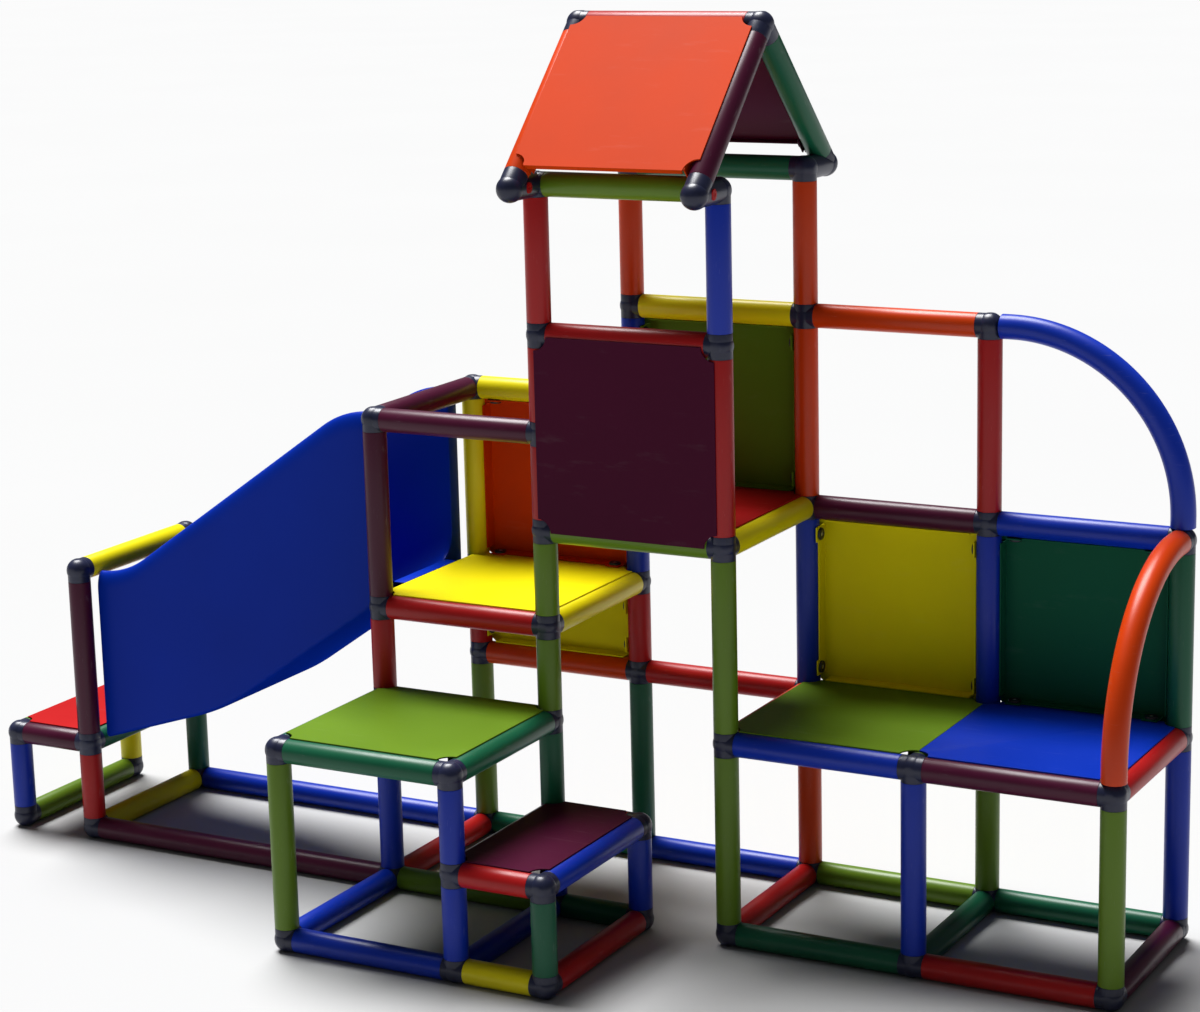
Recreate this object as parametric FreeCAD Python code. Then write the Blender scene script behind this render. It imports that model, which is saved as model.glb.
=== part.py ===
import FreeCAD, Part
import math
import os

# Modular climbing frame of plastic tubes: step decks, a slide, a roofed tower, a bench bay and two arcs.
#
# Every tube runs between connectors that stand on a square grid. Places in the tables are grid places:
# x to the right, y to the back and z up, in steps of PITCH. Lengths are in millimetres.

# Grid and tubes
PITCH = 400.0
TUBE_RADIUS = 25.0
TUBE_WALL = 3.0
TUBE_END_CHAMFER = 0.6
COLLAR = 25.0  # from a connector's centre to the end of its collar

# Connectors
CORE_RADIUS = 27.0
CORE_FLAT = 25.3  # the core's flats, which are also the feet
SPIGOT_RADIUS = 21.8
SPIGOT_WALL = 3.3
SPIGOT_LENGTH = 45.0
SPIGOT_CHAMFER = 1.0
SPIGOT_BORE_START = 20.0
ARM_TURN = 20.0  # turns each arm's joining line away from its neighbours'

# Screws, at one distance from the end of a collar
SCREW_FROM_COLLAR = 32.0
SCREW_TIP = 14.5  # from the tube's axis
HEAD_SEAT = 24.4
HEAD_HEIGHT = 1.3
HEAD_RADIUS = 4.5
HEAD_ROUND = 0.6
HEAD_CLEAR = 0.1
SHANK_RADIUS = 2.0

# Panels
SHEET = 3.0
SHEET_GAP = 0.2  # between a sheet and the tubes that it lies on
SHEET_EDGE = 0.5  # from a sheet's edge to the grid line
NOTCH_RADIUS = 28.5
SHEET_LAP = 1.5  # how far the flanges reach up into the sheet
FLANGE = 3.0
FLANGE_CLEAR = 0.3
FLANGE_START = 40.0
FLANGE_DEPTH = 6.0
TAB_WIDTH = 32.0
TAB_DEPTH = 16.0
RAISED = SHEET + 0.4  # lifts a wall's lower flange over a deck's sheet
WASHER_RADIUS = 13.0
WASHER_HEIGHT = 5.0
WASHER_RECESS = 1.9
WASHER_FILLET = 1.5
PANEL_HEAD_RADIUS = 4.8
PANEL_HEAD_HEIGHT = 1.6
PANEL_SHANK_RADIUS = 2.5
RECESS_CLEAR = 0.2

# Arcs
ARC_STRAIGHT = 20.0
ARC_SCREW_FROM_COLLAR = 10.0

# Cutting tools run on past the faces that they cut.
PAST_FACE = 1.0
PAST_TUBE = 30.0  # from a tube's axis

# Roof
EAVE_Z = 3.75
EAVE_OVERHANG = 0.25
APEX_Y = 1.5
APEX_Z = 4.5
PLUG_RADIUS = 11.0
PLUG_DEPTH = 8.0
PLUG_PROUD = 0.6
PLUG_ROUND = 0.48
PLUG_CLEAR = 0.05
SADDLE_CLEAR = 0.3
PLUG_FROM_POST = 66.0  # the rest of the link is the eave end's own
ROOF_SHEET_LOW = 38.0
ROOF_SHEET_HIGH = 419.0
ROOF_LIP = 8.0

# Slide, between the posts at x = 0.5 and x = 2.5
SLIDE_FOOT_X = 228.0
SLIDE_HEAD_X = 972.0
HEAD_TUBE_Z = 1.5  # the tubes that its lips lie on, in grid steps
FOOT_TUBE_Z = 0.5
SLIDE_FRONT = 427.0
SLIDE_BACK = 773.0
SLIDE_WALL = 36.0
SLIDE_BED = 27.8
SLIDE_SHELL = 3.0
SLIDE_FOOT_SLOPE = 17.7
SLIDE_SLOPE = 34.4
UNDERSIDE_FOOT_Z = 205.0
UNDERSIDE_HEAD_Z = 594.6
UNDERSIDE_BEND = 80.0
RIM_FOOT_Z = 592.0
RIM_HEAD_Z = 1005.0
RIM_BEND = 66.0
RIM_MIDDLE = (490.0, 726.0)
RIM_ROUND = 17.5
UNDERSIDE_ROUND = 13.0
BED_ROUND = 60.0
LIP_REACH = 27.0
LIP_THICKNESS = 3.0
LIP_ROOT = 2.0
LIP_CLEAR = 0.3
CHANNEL_PAST_ENDS = 80.0
CHANNEL_TOP = 1400.0

# The origin is under the middle of the whole frame, on the ground.
LENGTH_IN_GRID = 6.5
BACK_EAVE_IN_GRID = 2.0 + EAVE_OVERHANG
ORIGIN = FreeCAD.Vector(
    LENGTH_IN_GRID * PITCH / 2.0,
    (BACK_EAVE_IN_GRID * PITCH + CORE_RADIUS - CORE_FLAT) / 2.0,
    -CORE_FLAT,
)

# Upright tubes by colour: x, y, lower z, upper z
POSTS = {
    "blue": [
        (0, 1, 0, 0.5), (3.5, 0, 0, 0.5), (3.5, 0, 0.5, 1), (4, 1, 0, 0.5), (2.5, 1, 0, 1),
        (3.5, 1, 0, 0.5), (4.5, 1, 3, 3.75), (5.5, 1, 0, 1), (3.5, 2, 1.5, 2), (3.5, 2, 2, 2.5),
        (3.5, 2, 2.5, 3), (4.5, 2, 1, 2), (5.5, 2, 1, 2), (6.5, 2, 0, 1),
    ],
    "yellow": [(0, 2, 0, 0.5), (2.5, 2, 1.5, 2.5)],
    "red": [
        (0.5, 1, 0, 0.5), (2.5, 1, 1, 1.5), (3.5, 1, 2, 2.5), (3.5, 1, 2.5, 3), (3.5, 1, 3, 3.75),
        (4.5, 1, 2, 3), (2.5, 2, 1, 1.5), (3.5, 2, 1, 1.5), (5.5, 2, 2, 3),
    ],
    "plum": [(0.5, 1, 0.5, 1.5), (0.5, 2, 0.5, 1.5), (2.5, 1, 1.5, 2.5)],
    "green": [(0.5, 2, 0, 0.5), (4, 0, 0, 0.5), (3.5, 1, 0.5, 1), (3.5, 2, 0, 1), (6.5, 2, 1, 2)],
    "lime": [
        (2.5, 0, 0, 1), (3.5, 1, 1, 1.5), (3.5, 1, 1.5, 2), (4.5, 1, 0, 1), (4.5, 1, 1, 2),
        (6.5, 1, 0, 1), (2.5, 2, 0, 1), (5.5, 2, 0, 1),
    ],
    "orange": [(3.5, 2, 3, 3.75), (4.5, 2, 0, 1), (4.5, 2, 2, 3), (4.5, 2, 3, 3.75)],
}

# Tubes along x by colour: lower x, upper x, y, z
RAILS = {
    "blue": [(2.5, 3.5, 0, 0), (4.5, 5.5, 1, 1), (0.5, 2.5, 2, 0), (3.5, 4.5, 2, 0), (5.5, 6.5, 2, 2)],
    "yellow": [(3.5, 4, 0, 0), (2.5, 3.5, 2, 2.5), (3.5, 4.5, 2, 3)],
    "red": [
        (3.5, 4, 0, 0.5), (5.5, 6.5, 1, 0), (3.5, 4, 1, 0.5), (2.5, 3.5, 1, 1.5), (3.5, 4.5, 1, 3),
        (3.5, 4.5, 2, 1), (2.5, 3.5, 2, 1.5), (3.5, 4.5, APEX_Y, APEX_Z),
    ],
    "plum": [(0.5, 2.5, 1, 0), (0, 0.5, 1, 0.5), (5.5, 6.5, 1, 1), (2.5, 3.5, 1, 2.5), (4.5, 5.5, 2, 2)],
    "green": [
        (2.5, 3.5, 0, 1), (3.5, 4, 1, 0), (4.5, 5.5, 1, 0), (2.5, 3.5, 1, 1), (2.5, 3.5, 2, 0),
        (5.5, 6.5, 2, 0), (0, 0.5, 2, 0.5), (4.5, 5.5, 2, 1), (3.5, 4.5, 2, EAVE_Z),
    ],
    "lime": [
        (2.5, 3.5, 1, 0), (3.5, 4.5, 1, 2), (4.5, 5.5, 2, 0), (5.5, 6.5, 2, 1), (3.5, 4.5, 2, 2),
        (3.5, 4.5, 1, EAVE_Z),
    ],
    "orange": [(2.5, 3.5, 2, 1), (4.5, 5.5, 2, 3)],
}

# Tubes along y by colour: x, lower y, upper y, z
CROSSBARS = {
    "blue": [(2.5, 0, 1, 0), (3.5, 0, 1, 0), (4, 0, 1, 0.5)],
    "yellow": [(0.5, 1, 2, 0), (0.5, 1, 2, 1.5), (3.5, 1, 2, 1.5), (4.5, 1, 2, 2)],
    "red": [(2.5, 1, 2, 0), (4, 0, 1, 0), (4.5, 1, 2, 0), (6.5, 1, 2, 1)],
    "plum": [(2.5, 1, 2, 2.5), (6.5, 1, 2, 0), (3.5, 0, 1, 0.5)],
    "green": [(0.5, 1, 2, 0.5), (3.5, 0, 1, 1), (2.5, 0, 1, 1), (5.5, 1, 2, 0), (2.5, 1, 2, 1.5)],
    "lime": [(0, 1, 2, 0), (0, 1, 2, 0.5), (5.5, 1, 2, 1), (3.5, 1, 2, 2)],
    "orange": [(4.5, 1, 2, 1)],
}

# Decks lie on four tubes: name, lower x, upper x, lower y, upper y, z
DECKS = [
    ("deck_foot_red", 0, 0.5, 1, 2, 0.5),
    ("deck_half_step_plum", 3.5, 4, 0, 1, 0.5),
    ("deck_step_lime", 2.5, 3.5, 0, 1, 1),
    ("deck_slide_yellow", 2.5, 3.5, 1, 2, 1.5),
    ("deck_tower_red", 3.5, 4.5, 1, 2, 2),
    ("deck_bench_lime", 4.5, 5.5, 1, 2, 1),
    ("deck_bench_blue", 5.5, 6.5, 1, 2, 1),
]

# Walls stand on tubes: name, lower x, upper x, lower z, upper z, y, faces the back, stands on a deck,
# is screwed to its upright tubes
WALLS = [
    ("wall_slide_orange", 2.5, 3.5, 1.5, 2.5, 2, True, True, False),
    ("wall_slide_half_yellow", 2.5, 3.5, 1, 1.5, 2, True, False, True),
    ("wall_tower_back_lime", 3.5, 4.5, 2, 3, 2, True, True, True),
    ("wall_tower_front_plum", 3.5, 4.5, 2, 3, 1, False, True, True),
    ("wall_bench_yellow", 4.5, 5.5, 1, 2, 2, True, True, True),
    ("wall_bench_green", 5.5, 6.5, 1, 2, 2, True, True, False),
]

X_AXIS = FreeCAD.Vector(1, 0, 0)
Y_AXIS = FreeCAD.Vector(0, 1, 0)
Z_AXIS = FreeCAD.Vector(0, 0, 1)
UP_FRONT_SLOPE = FreeCAD.Vector(0, 1, 1).normalize()
UP_BACK_SLOPE = FreeCAD.Vector(0, -1, 1).normalize()
SLOPE_LENGTH = (APEX_Y - 1.0 + EAVE_OVERHANG) * PITCH * math.sqrt(2.0)
SLOPE_COLLAR = (SLOPE_LENGTH - (PITCH - 2.0 * COLLAR)) / 2.0
NEAR = 0.01  # how close two places or directions are to count as the same


def grid(x, y, z):
    """The point of a grid place, in the part's own frame."""
    return FreeCAD.Vector(x * PITCH, y * PITCH, z * PITCH) - ORIGIN


def same(one, other):
    """Whether two vectors are the same."""
    return (one - other).Length < NEAR


def rod(start, direction, near, far, radius):
    """A round rod along a direction, from one distance to another from its start."""
    return Part.makeCylinder(radius, far - near, start + direction * near, direction)


def fuse_all(shapes):
    """One solid from several that meet, with split faces joined again where that stays sound."""
    whole = shapes[0].multiFuse(shapes[1:])
    joined = whole.removeSplitter()
    return joined.Solids[0] if joined.isValid() else whole.Solids[0]


def save(name, solids):
    """Write one node, as one solid or a group of separate solids."""
    shape = solids[0] if len(solids) == 1 else Part.makeCompound(solids)
    for solid in solids:
        if not solid.isValid() or solid.Volume <= 0.0:
            raise ValueError("%s has a solid that is not sound" % name)
    shape.exportStep("parts/%s.step" % name)
    print("%-28s %4d solids %9.1f cm3" % (name, len(solids), shape.Volume / 1000.0))


# ---- tubes, and what they ask of the connectors ----

class Tube:
    """A straight tube between two connector centres."""

    def __init__(self, kind, colour, start, end, collar=COLLAR):
        self.kind = kind
        self.colour = colour
        self.start = start
        self.end = end
        self.direction = (end - start).normalize()
        self.span = (end - start).Length
        self.collar = collar

    def length(self):
        """The cut length, between the two collars."""
        return self.span - 2.0 * self.collar

    def screw_places(self):
        """The two points on the axis where a screw holds the tube on its spigots."""
        reach = self.collar + SCREW_FROM_COLLAR
        return [self.start + self.direction * reach, self.end - self.direction * reach]

    def holds(self, place):
        """Whether a point lies on the tube's axis, between its ends."""
        along = (place - self.start).dot(self.direction)
        beside = (place - self.start - self.direction * along).Length
        return beside < 1.0 and self.collar < along < self.span - self.collar

    def solid(self):
        """The hollow tube with eased outer ends."""
        outer = rod(self.start, self.direction, self.collar, self.span - self.collar, TUBE_RADIUS)
        rims = [edge for edge in outer.Edges if isinstance(edge.Curve, Part.Circle)]
        outer = outer.makeChamfer(TUBE_END_CHAMFER, rims)
        bore_radius = TUBE_RADIUS - TUBE_WALL
        return outer.cut(rod(self.start, self.direction, 0.0, self.span, bore_radius))


def all_tubes():
    """Every straight tube of the frame."""
    tubes = []
    for colour, places in POSTS.items():
        for x, y, low, high in places:
            tubes.append(Tube("post", colour, grid(x, y, low), grid(x, y, high)))
    for colour, places in RAILS.items():
        for low, high, y, z in places:
            tubes.append(Tube("rail", colour, grid(low, y, z), grid(high, y, z)))
    for colour, places in CROSSBARS.items():
        for x, low, high, z in places:
            tubes.append(Tube("crossbar", colour, grid(x, low, z), grid(x, high, z)))
    return tubes + roof_tubes()


def roof_tubes():
    """The four sloping tubes of the roof."""
    tubes = []
    slopes = [(3.5, True, "orange"), (4.5, True, "plum"), (3.5, False, "yellow"), (4.5, False, "green")]
    for x, front, colour in slopes:
        tubes.append(Tube("slope", colour, eave(x, front), grid(x, APEX_Y, APEX_Z), SLOPE_COLLAR))
    return tubes


def eave(x, front):
    """The centre of an eave end, outboard of the post's top."""
    y = 1.0 - EAVE_OVERHANG if front else BACK_EAVE_IN_GRID
    return grid(x, y, EAVE_Z)


# ---- screws ----

class Screw:
    """A screw square to a tube's axis, with its place on the axis and its outward direction."""

    def __init__(self, place, outward, radius):
        self.place = place
        self.outward = outward
        self.radius = radius

    def hole(self, far):
        """The hole that the screw needs, out to a distance from the tube's axis."""
        return rod(self.place, self.outward, SCREW_TIP - PAST_FACE, far, self.radius)


def free_direction(tube, place, taken):
    """The side of a tube where a screw meets no panel, or None where panels hold the tube all round."""
    on_ground = tube.start.z + ORIGIN.z < NEAR
    if tube.kind == "post":
        choices = [X_AXIS, -X_AXIS, -Y_AXIS, Y_AXIS]
    elif tube.kind == "slope":
        choices = [X_AXIS if tube.start.x > grid(4, 0, 0).x else -X_AXIS]
    elif on_ground:
        choices = [Z_AXIS]
    elif tube.kind == "rail":
        choices = [-Z_AXIS, Y_AXIS, -Y_AXIS, Z_AXIS]
    else:
        choices = [-Z_AXIS, X_AXIS, -X_AXIS, Z_AXIS]
    used = [outward for where, outward in taken if same(where, place)]
    free = [choice for choice in choices if not any(same(choice, side) for side in used)]
    return free[0] if free else None


def tube_screws(tubes, taken):
    """One screw at each end of each tube, except where a panel's screws take every side."""
    screws = []
    for tube in tubes:
        for place in tube.screw_places():
            outward = free_direction(tube, place, taken)
            if outward is not None:
                screws.append(Screw(place, outward, SHANK_RADIUS))
    return screws


def screw_solid(screw):
    """A small screw with a low rounded head, seated in the tube's wall."""
    shank = rod(screw.place, screw.outward, SCREW_TIP, HEAD_SEAT, SHANK_RADIUS)
    head = rod(screw.place, screw.outward, HEAD_SEAT, HEAD_SEAT + HEAD_HEIGHT, HEAD_RADIUS)
    return fuse_all([round_far_rim(head, screw, HEAD_SEAT + HEAD_HEIGHT, HEAD_ROUND), shank])


def round_far_rim(disc, screw, far, radius):
    """Round the outer rim of a disc that stands on a screw's axis."""
    middle = screw.place + screw.outward * far
    rims = [
        edge for edge in disc.Edges
        if isinstance(edge.Curve, Part.Circle) and same(edge.Curve.Center, middle)
    ]
    return disc.makeFillet(radius, rims)


def drill(shape, screws, far, seats=False):
    """Cut the screws' holes out of a shape, and their heads' seats where it is the outermost wall."""
    box = shape.BoundBox
    box.enlarge(TUBE_RADIUS)
    tools = []
    for screw in screws:
        if not box.isInside(screw.place):
            continue
        tools.append(screw.hole(far))
        if seats and screw.radius == SHANK_RADIUS:
            seat_radius = HEAD_RADIUS + HEAD_CLEAR
            tools.append(rod(screw.place, screw.outward, HEAD_SEAT, TUBE_RADIUS + PAST_FACE, seat_radius))
    return shape.cut(tools).Solids[0] if tools else shape


# ---- connectors ----

class Arm:
    """One socket of a connector: where it points, and how long its collar and spigot are."""

    def __init__(self, direction, collar=COLLAR, spigot=SPIGOT_LENGTH):
        self.direction = direction
        self.collar = collar
        self.spigot = spigot

    def solid(self, centre):
        """The collar, flush with the tube that it meets, and the spigot that the tube slides over."""
        tip = self.collar + self.spigot
        outline = [
            (0.0, 0.0), (TUBE_RADIUS, 0.0), (TUBE_RADIUS, self.collar), (SPIGOT_RADIUS, self.collar),
            (SPIGOT_RADIUS, tip - SPIGOT_CHAMFER), (SPIGOT_RADIUS - SPIGOT_CHAMFER, tip),
            (0.0, tip), (0.0, 0.0),
        ]
        across = X_AXIS if abs(self.direction.x) < NEAR else Y_AXIS
        across = FreeCAD.Rotation(self.direction, ARM_TURN).multVec(across)
        corners = [centre + across * radius + self.direction * along for radius, along in outline]
        face = Part.Face(Part.makePolygon(corners))
        return face.revolve(centre, self.direction, 360.0)

    def bore(self, centre):
        """The hollow of the spigot."""
        radius = SPIGOT_RADIUS - SPIGOT_WALL
        start = SPIGOT_BORE_START + self.collar - COLLAR
        return rod(centre, self.direction, start, self.collar + self.spigot + PAST_FACE, radius)


def core_solid(centre):
    """The ball in the middle of a connector, with six flats."""
    ball = Part.makeSphere(CORE_RADIUS, centre)
    corner = centre - FreeCAD.Vector(CORE_FLAT, CORE_FLAT, CORE_FLAT)
    return ball.common(Part.makeBox(2 * CORE_FLAT, 2 * CORE_FLAT, 2 * CORE_FLAT, corner))


def connector_solid(centre, arms, extra=()):
    """A one-piece connector with its collars and spigots, and any extra body of its own."""
    bodies = [arm.solid(centre) for arm in arms] + list(extra)
    whole = core_solid(centre).multiFuse(bodies)
    return whole.cut([arm.bore(centre) for arm in arms]).Solids[0]


def collect_arms(tubes, arcs):
    """Every connector's centre with the arms that its tubes and arcs need."""
    centres = []
    wanted = [(tube.start, Arm(tube.direction)) for tube in tubes if tube.kind != "slope"]
    wanted += [(tube.end, Arm(-tube.direction)) for tube in tubes if tube.kind != "slope"]
    for arc in arcs:
        wanted += [(centre, Arm(direction, spigot=ARC_STRAIGHT)) for centre, direction in arc.ends()]
    for centre, arm in wanted:
        known = [entry for entry in centres if same(entry[0], centre)]
        if known:
            known[0][1].append(arm)
        else:
            centres.append((centre, [arm]))
    return centres


def is_roof_place(centre):
    """Whether a connector belongs to the roof, which has its own kinds."""
    return centre.z > grid(0, 0, EAVE_Z).z - NEAR


def eave_connector(post_top, arms, front):
    """A post top linked to an eave end, with a saddle under the sloping tube."""
    side = -1.0 if front else 1.0
    outward = Y_AXIS * side
    end = post_top + outward * (EAVE_OVERHANG * PITCH)
    slope = UP_FRONT_SLOPE if front else UP_BACK_SLOPE
    link = rod(post_top, outward, 0.0, EAVE_OVERHANG * PITCH, TUBE_RADIUS)
    link = link.cut(rod(end, slope, SLOPE_COLLAR, SLOPE_LENGTH / 2.0, TUBE_RADIUS + SADDLE_CLEAR))
    slope_arm = Arm(slope, SLOPE_COLLAR)
    ball = Part.makeSphere(CORE_RADIUS, end)
    extra = [link, ball, slope_arm.solid(end)]
    whole = connector_solid(post_top, arms, extra)
    return whole.cut([slope_arm.bore(end), plug_seat(post_top, front)]).Solids[0]


def plug_middle(post_top, front):
    """Where the plug sits on the link's side, and the way that it faces."""
    outward = -Y_AXIS if front else Y_AXIS
    facing = X_AXIS if front else -X_AXIS
    return post_top + outward * PLUG_FROM_POST, facing


def plug_seat(post_top, front):
    """The round recess of a plug."""
    middle, facing = plug_middle(post_top, front)
    return rod(middle, facing, TUBE_RADIUS - PLUG_DEPTH, TUBE_RADIUS + PAST_FACE, PLUG_RADIUS)


def plug_solid(post_top, front):
    """A round plug with an eased rim, just proud of the link."""
    middle, facing = plug_middle(post_top, front)
    face = TUBE_RADIUS + PLUG_PROUD
    disc = rod(middle, facing, TUBE_RADIUS - PLUG_DEPTH, face, PLUG_RADIUS - PLUG_CLEAR)
    rims = [
        edge for edge in disc.Edges
        if isinstance(edge.Curve, Part.Circle) and same(edge.Curve.Center, middle + facing * face)
    ]
    return disc.makeFillet(PLUG_ROUND, rims)


# ---- arcs ----

class ArcTube:
    """A quarter-circle tube with short straight ends."""

    def __init__(self, first, leaving, second, arriving):
        self.first = first
        self.leaving = leaving
        self.second = second
        self.arriving = arriving

    def ends(self):
        """Each connector's centre with the way that its arm points."""
        return [(self.first, self.leaving), (self.second, -self.arriving)]

    def path(self):
        """Straight, quarter circle, straight: the tube's middle line."""
        start = self.first + self.leaving * COLLAR
        end = self.second - self.arriving * COLLAR
        bend_start = start + self.leaving * ARC_STRAIGHT
        bend_end = end - self.arriving * ARC_STRAIGHT
        radius = (bend_end - bend_start).dot(self.leaving)
        centre = bend_start + self.arriving * radius
        outward = (self.leaving - self.arriving).normalize()
        middle = centre + outward * radius
        arc = Part.Arc(bend_start, middle, bend_end).toShape()
        lines = [Part.LineSegment(start, bend_start).toShape(), Part.LineSegment(bend_end, end).toShape()]
        return Part.Wire([lines[0], arc, lines[1]])

    def sweep(self, radius):
        """A solid bar along the path."""
        path = self.path()
        start = self.first + self.leaving * COLLAR
        circle = Part.Wire([Part.Circle(start, self.leaving, radius).toShape()])
        return path.makePipeShell([circle], True, False)

    def solid(self):
        """The hollow bent tube."""
        return self.sweep(TUBE_RADIUS).cut(self.sweep(TUBE_RADIUS - TUBE_WALL)).Solids[0]

    def screws(self, outward):
        """One screw at each end."""
        reach = COLLAR + ARC_SCREW_FROM_COLLAR
        places = [self.first + self.leaving * reach, self.second - self.arriving * reach]
        return [Screw(place, outward, SHANK_RADIUS) for place in places]


# ---- panels ----

class Panel:
    """A moulded panel in its own frame: x and y run along its tubes, z is its outer side.

    The tubes' axes lie in z = 0, round a field of width by depth, so the sheet lies on z = TUBE_RADIUS.
    """

    def __init__(self, name, origin, x_way, y_way, width, depth):
        self.name = name
        self.origin = origin
        self.x_way = x_way
        self.y_way = y_way
        self.z_way = x_way.cross(y_way)
        self.width = width
        self.depth = depth
        self.reach = COLLAR + SCREW_FROM_COLLAR
        self.sheet_low = SHEET_EDGE
        self.sheet_high = depth - SHEET_EDGE
        self.notches = [(0, 0), (width, 0), (0, depth), (width, depth)]
        self.raised_low = 0.0
        self.lower_edge_free = False
        self.screwed_at_sides = True

    def place(self, shape):
        """Move a shape from the panel's frame to the part's frame."""
        turn = FreeCAD.Rotation(self.x_way, self.y_way, self.z_way, "XYZ")
        moved = shape.copy()
        moved.Placement = FreeCAD.Placement(self.origin, turn).multiply(moved.Placement)
        return moved

    def point(self, x, y):
        """A point on the field of the tubes' axes, in the part's frame."""
        return self.origin + self.x_way * x + self.y_way * y

    def edges(self):
        """Each edge with a tube: its start, the way along it, the way inwards, its length and lift."""
        width, depth = self.width, self.depth
        sides = [
            ((0.0, 0.0), (0, 1), (1, 0), depth, 0.0),
            ((width, 0.0), (0, 1), (-1, 0), depth, 0.0),
            ((0.0, depth), (1, 0), (0, -1), width, 0.0),
        ]
        if not self.lower_edge_free:
            sides.append(((0.0, 0.0), (1, 0), (0, 1), width, self.raised_low))
        return sides

    def fasteners(self):
        """Each fastener's distance along its edge, two to each of two opposite edges."""
        spots = []
        for start, along, inwards, length, lift in self.edges():
            if bool(along[1]) != self.screwed_at_sides:
                continue
            reach = self.reach if along[1] else COLLAR + SCREW_FROM_COLLAR
            for distance in (reach, length - reach):
                spots.append((start, along, inwards, distance, lift))
        return spots

    def screws(self):
        """The panel's screws, as places on the tubes' axes, with their lifts."""
        screws = []
        for start, along, inwards, distance, lift in self.fasteners():
            place = self.point(start[0] + along[0] * distance, start[1] + along[1] * distance)
            outward = self.x_way * inwards[0] + self.y_way * inwards[1]
            screws.append((Screw(place, outward, PANEL_SHANK_RADIUS), lift))
        return screws

    def sheet(self):
        """The flat sheet with round notches at the connectors."""
        low = TUBE_RADIUS + SHEET_GAP
        corner = FreeCAD.Vector(SHEET_EDGE, self.sheet_low, low)
        plate = Part.makeBox(self.width - 2 * SHEET_EDGE, self.sheet_high - self.sheet_low, SHEET, corner)
        for x, y in self.notches:
            base = FreeCAD.Vector(x, y, low - PAST_FACE)
            notch = Part.makeCylinder(NOTCH_RADIUS, SHEET + 2.0 * PAST_FACE, base)
            plate = plate.cut(notch)
        return plate

    def rib(self, start, along, inwards, first, last, depth, lift):
        """An upright strip beside a tube, from the sheet down past the tube's axis."""
        near = TUBE_RADIUS + FLANGE_CLEAR + lift
        top = TUBE_RADIUS + SHEET_GAP + SHEET_LAP
        corners = []
        for distance, offset in ((first, near), (last, near + FLANGE)):
            x = start[0] + along[0] * distance + inwards[0] * offset
            y = start[1] + along[1] * distance + inwards[1] * offset
            corners.append((x, y))
        x_low, x_high = sorted(corner[0] for corner in corners)
        y_low, y_high = sorted(corner[1] for corner in corners)
        base = FreeCAD.Vector(x_low, y_low, -depth)
        return Part.makeBox(x_high - x_low, y_high - y_low, top + depth, base)

    def solid(self):
        """The sheet with its flanges and screw tabs, in one piece."""
        pieces = [self.sheet()]
        for start, along, inwards, length, lift in self.edges():
            first = max(FLANGE_START, self.sheet_low + FLANGE) if along[1] else FLANGE_START
            last = length - FLANGE_START
            pieces.append(self.rib(start, along, inwards, first, last, FLANGE_DEPTH, lift))
        for start, along, inwards, distance, lift in self.fasteners():
            half = TAB_WIDTH / 2.0
            pieces.append(self.rib(start, along, inwards, distance - half, distance + half, TAB_DEPTH, lift))
        if self.lower_edge_free:
            low = TUBE_RADIUS + SHEET_GAP
            first = FreeCAD.Vector(NOTCH_RADIUS + FLANGE, self.sheet_low, low - ROOF_LIP)
            run = self.width - 2 * (NOTCH_RADIUS + FLANGE)
            pieces.append(Part.makeBox(run, FLANGE, ROOF_LIP + SHEET_LAP, first))
        return self.place(fuse_all(pieces))


def deck_panel(name, x_low, x_high, y_low, y_high, z):
    """A deck that lies on its tubes."""
    width = (x_high - x_low) * PITCH
    depth = (y_high - y_low) * PITCH
    return Panel(name, grid(x_low, y_low, z), X_AXIS, Y_AXIS, width, depth)


def wall_panel(name, x_low, x_high, z_low, z_high, y, faces_back, on_deck, screwed_at_sides):
    """A wall on the outer side of its tubes."""
    width = (x_high - x_low) * PITCH
    depth = (z_high - z_low) * PITCH
    if faces_back:
        panel = Panel(name, grid(x_high, y, z_low), -X_AXIS, Z_AXIS, width, depth)
    else:
        panel = Panel(name, grid(x_low, y, z_low), X_AXIS, Z_AXIS, width, depth)
    panel.raised_low = RAISED if on_deck else 0.0
    panel.screwed_at_sides = screwed_at_sides
    return panel


def roof_panel(name, front):
    """A roof panel on two sloping tubes and the apex tube."""
    if front:
        panel = Panel(name, eave(3.5, True), X_AXIS, UP_FRONT_SLOPE, PITCH, SLOPE_LENGTH)
    else:
        panel = Panel(name, eave(4.5, False), -X_AXIS, UP_BACK_SLOPE, PITCH, SLOPE_LENGTH)
    panel.reach = SLOPE_COLLAR + SCREW_FROM_COLLAR
    panel.sheet_low = ROOF_SHEET_LOW
    panel.sheet_high = ROOF_SHEET_HIGH
    panel.notches = [(0, ROOF_SHEET_LOW), (PITCH, ROOF_SHEET_LOW), (0, SLOPE_LENGTH), (PITCH, SLOPE_LENGTH)]
    panel.lower_edge_free = True
    return panel


def all_panels():
    """Every deck, wall and roof panel."""
    panels = [deck_panel(*row) for row in DECKS]
    panels += [wall_panel(*row) for row in WALLS]
    panels += [roof_panel("roof_front_orange", True), roof_panel("roof_back_plum", False)]
    return panels


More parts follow.
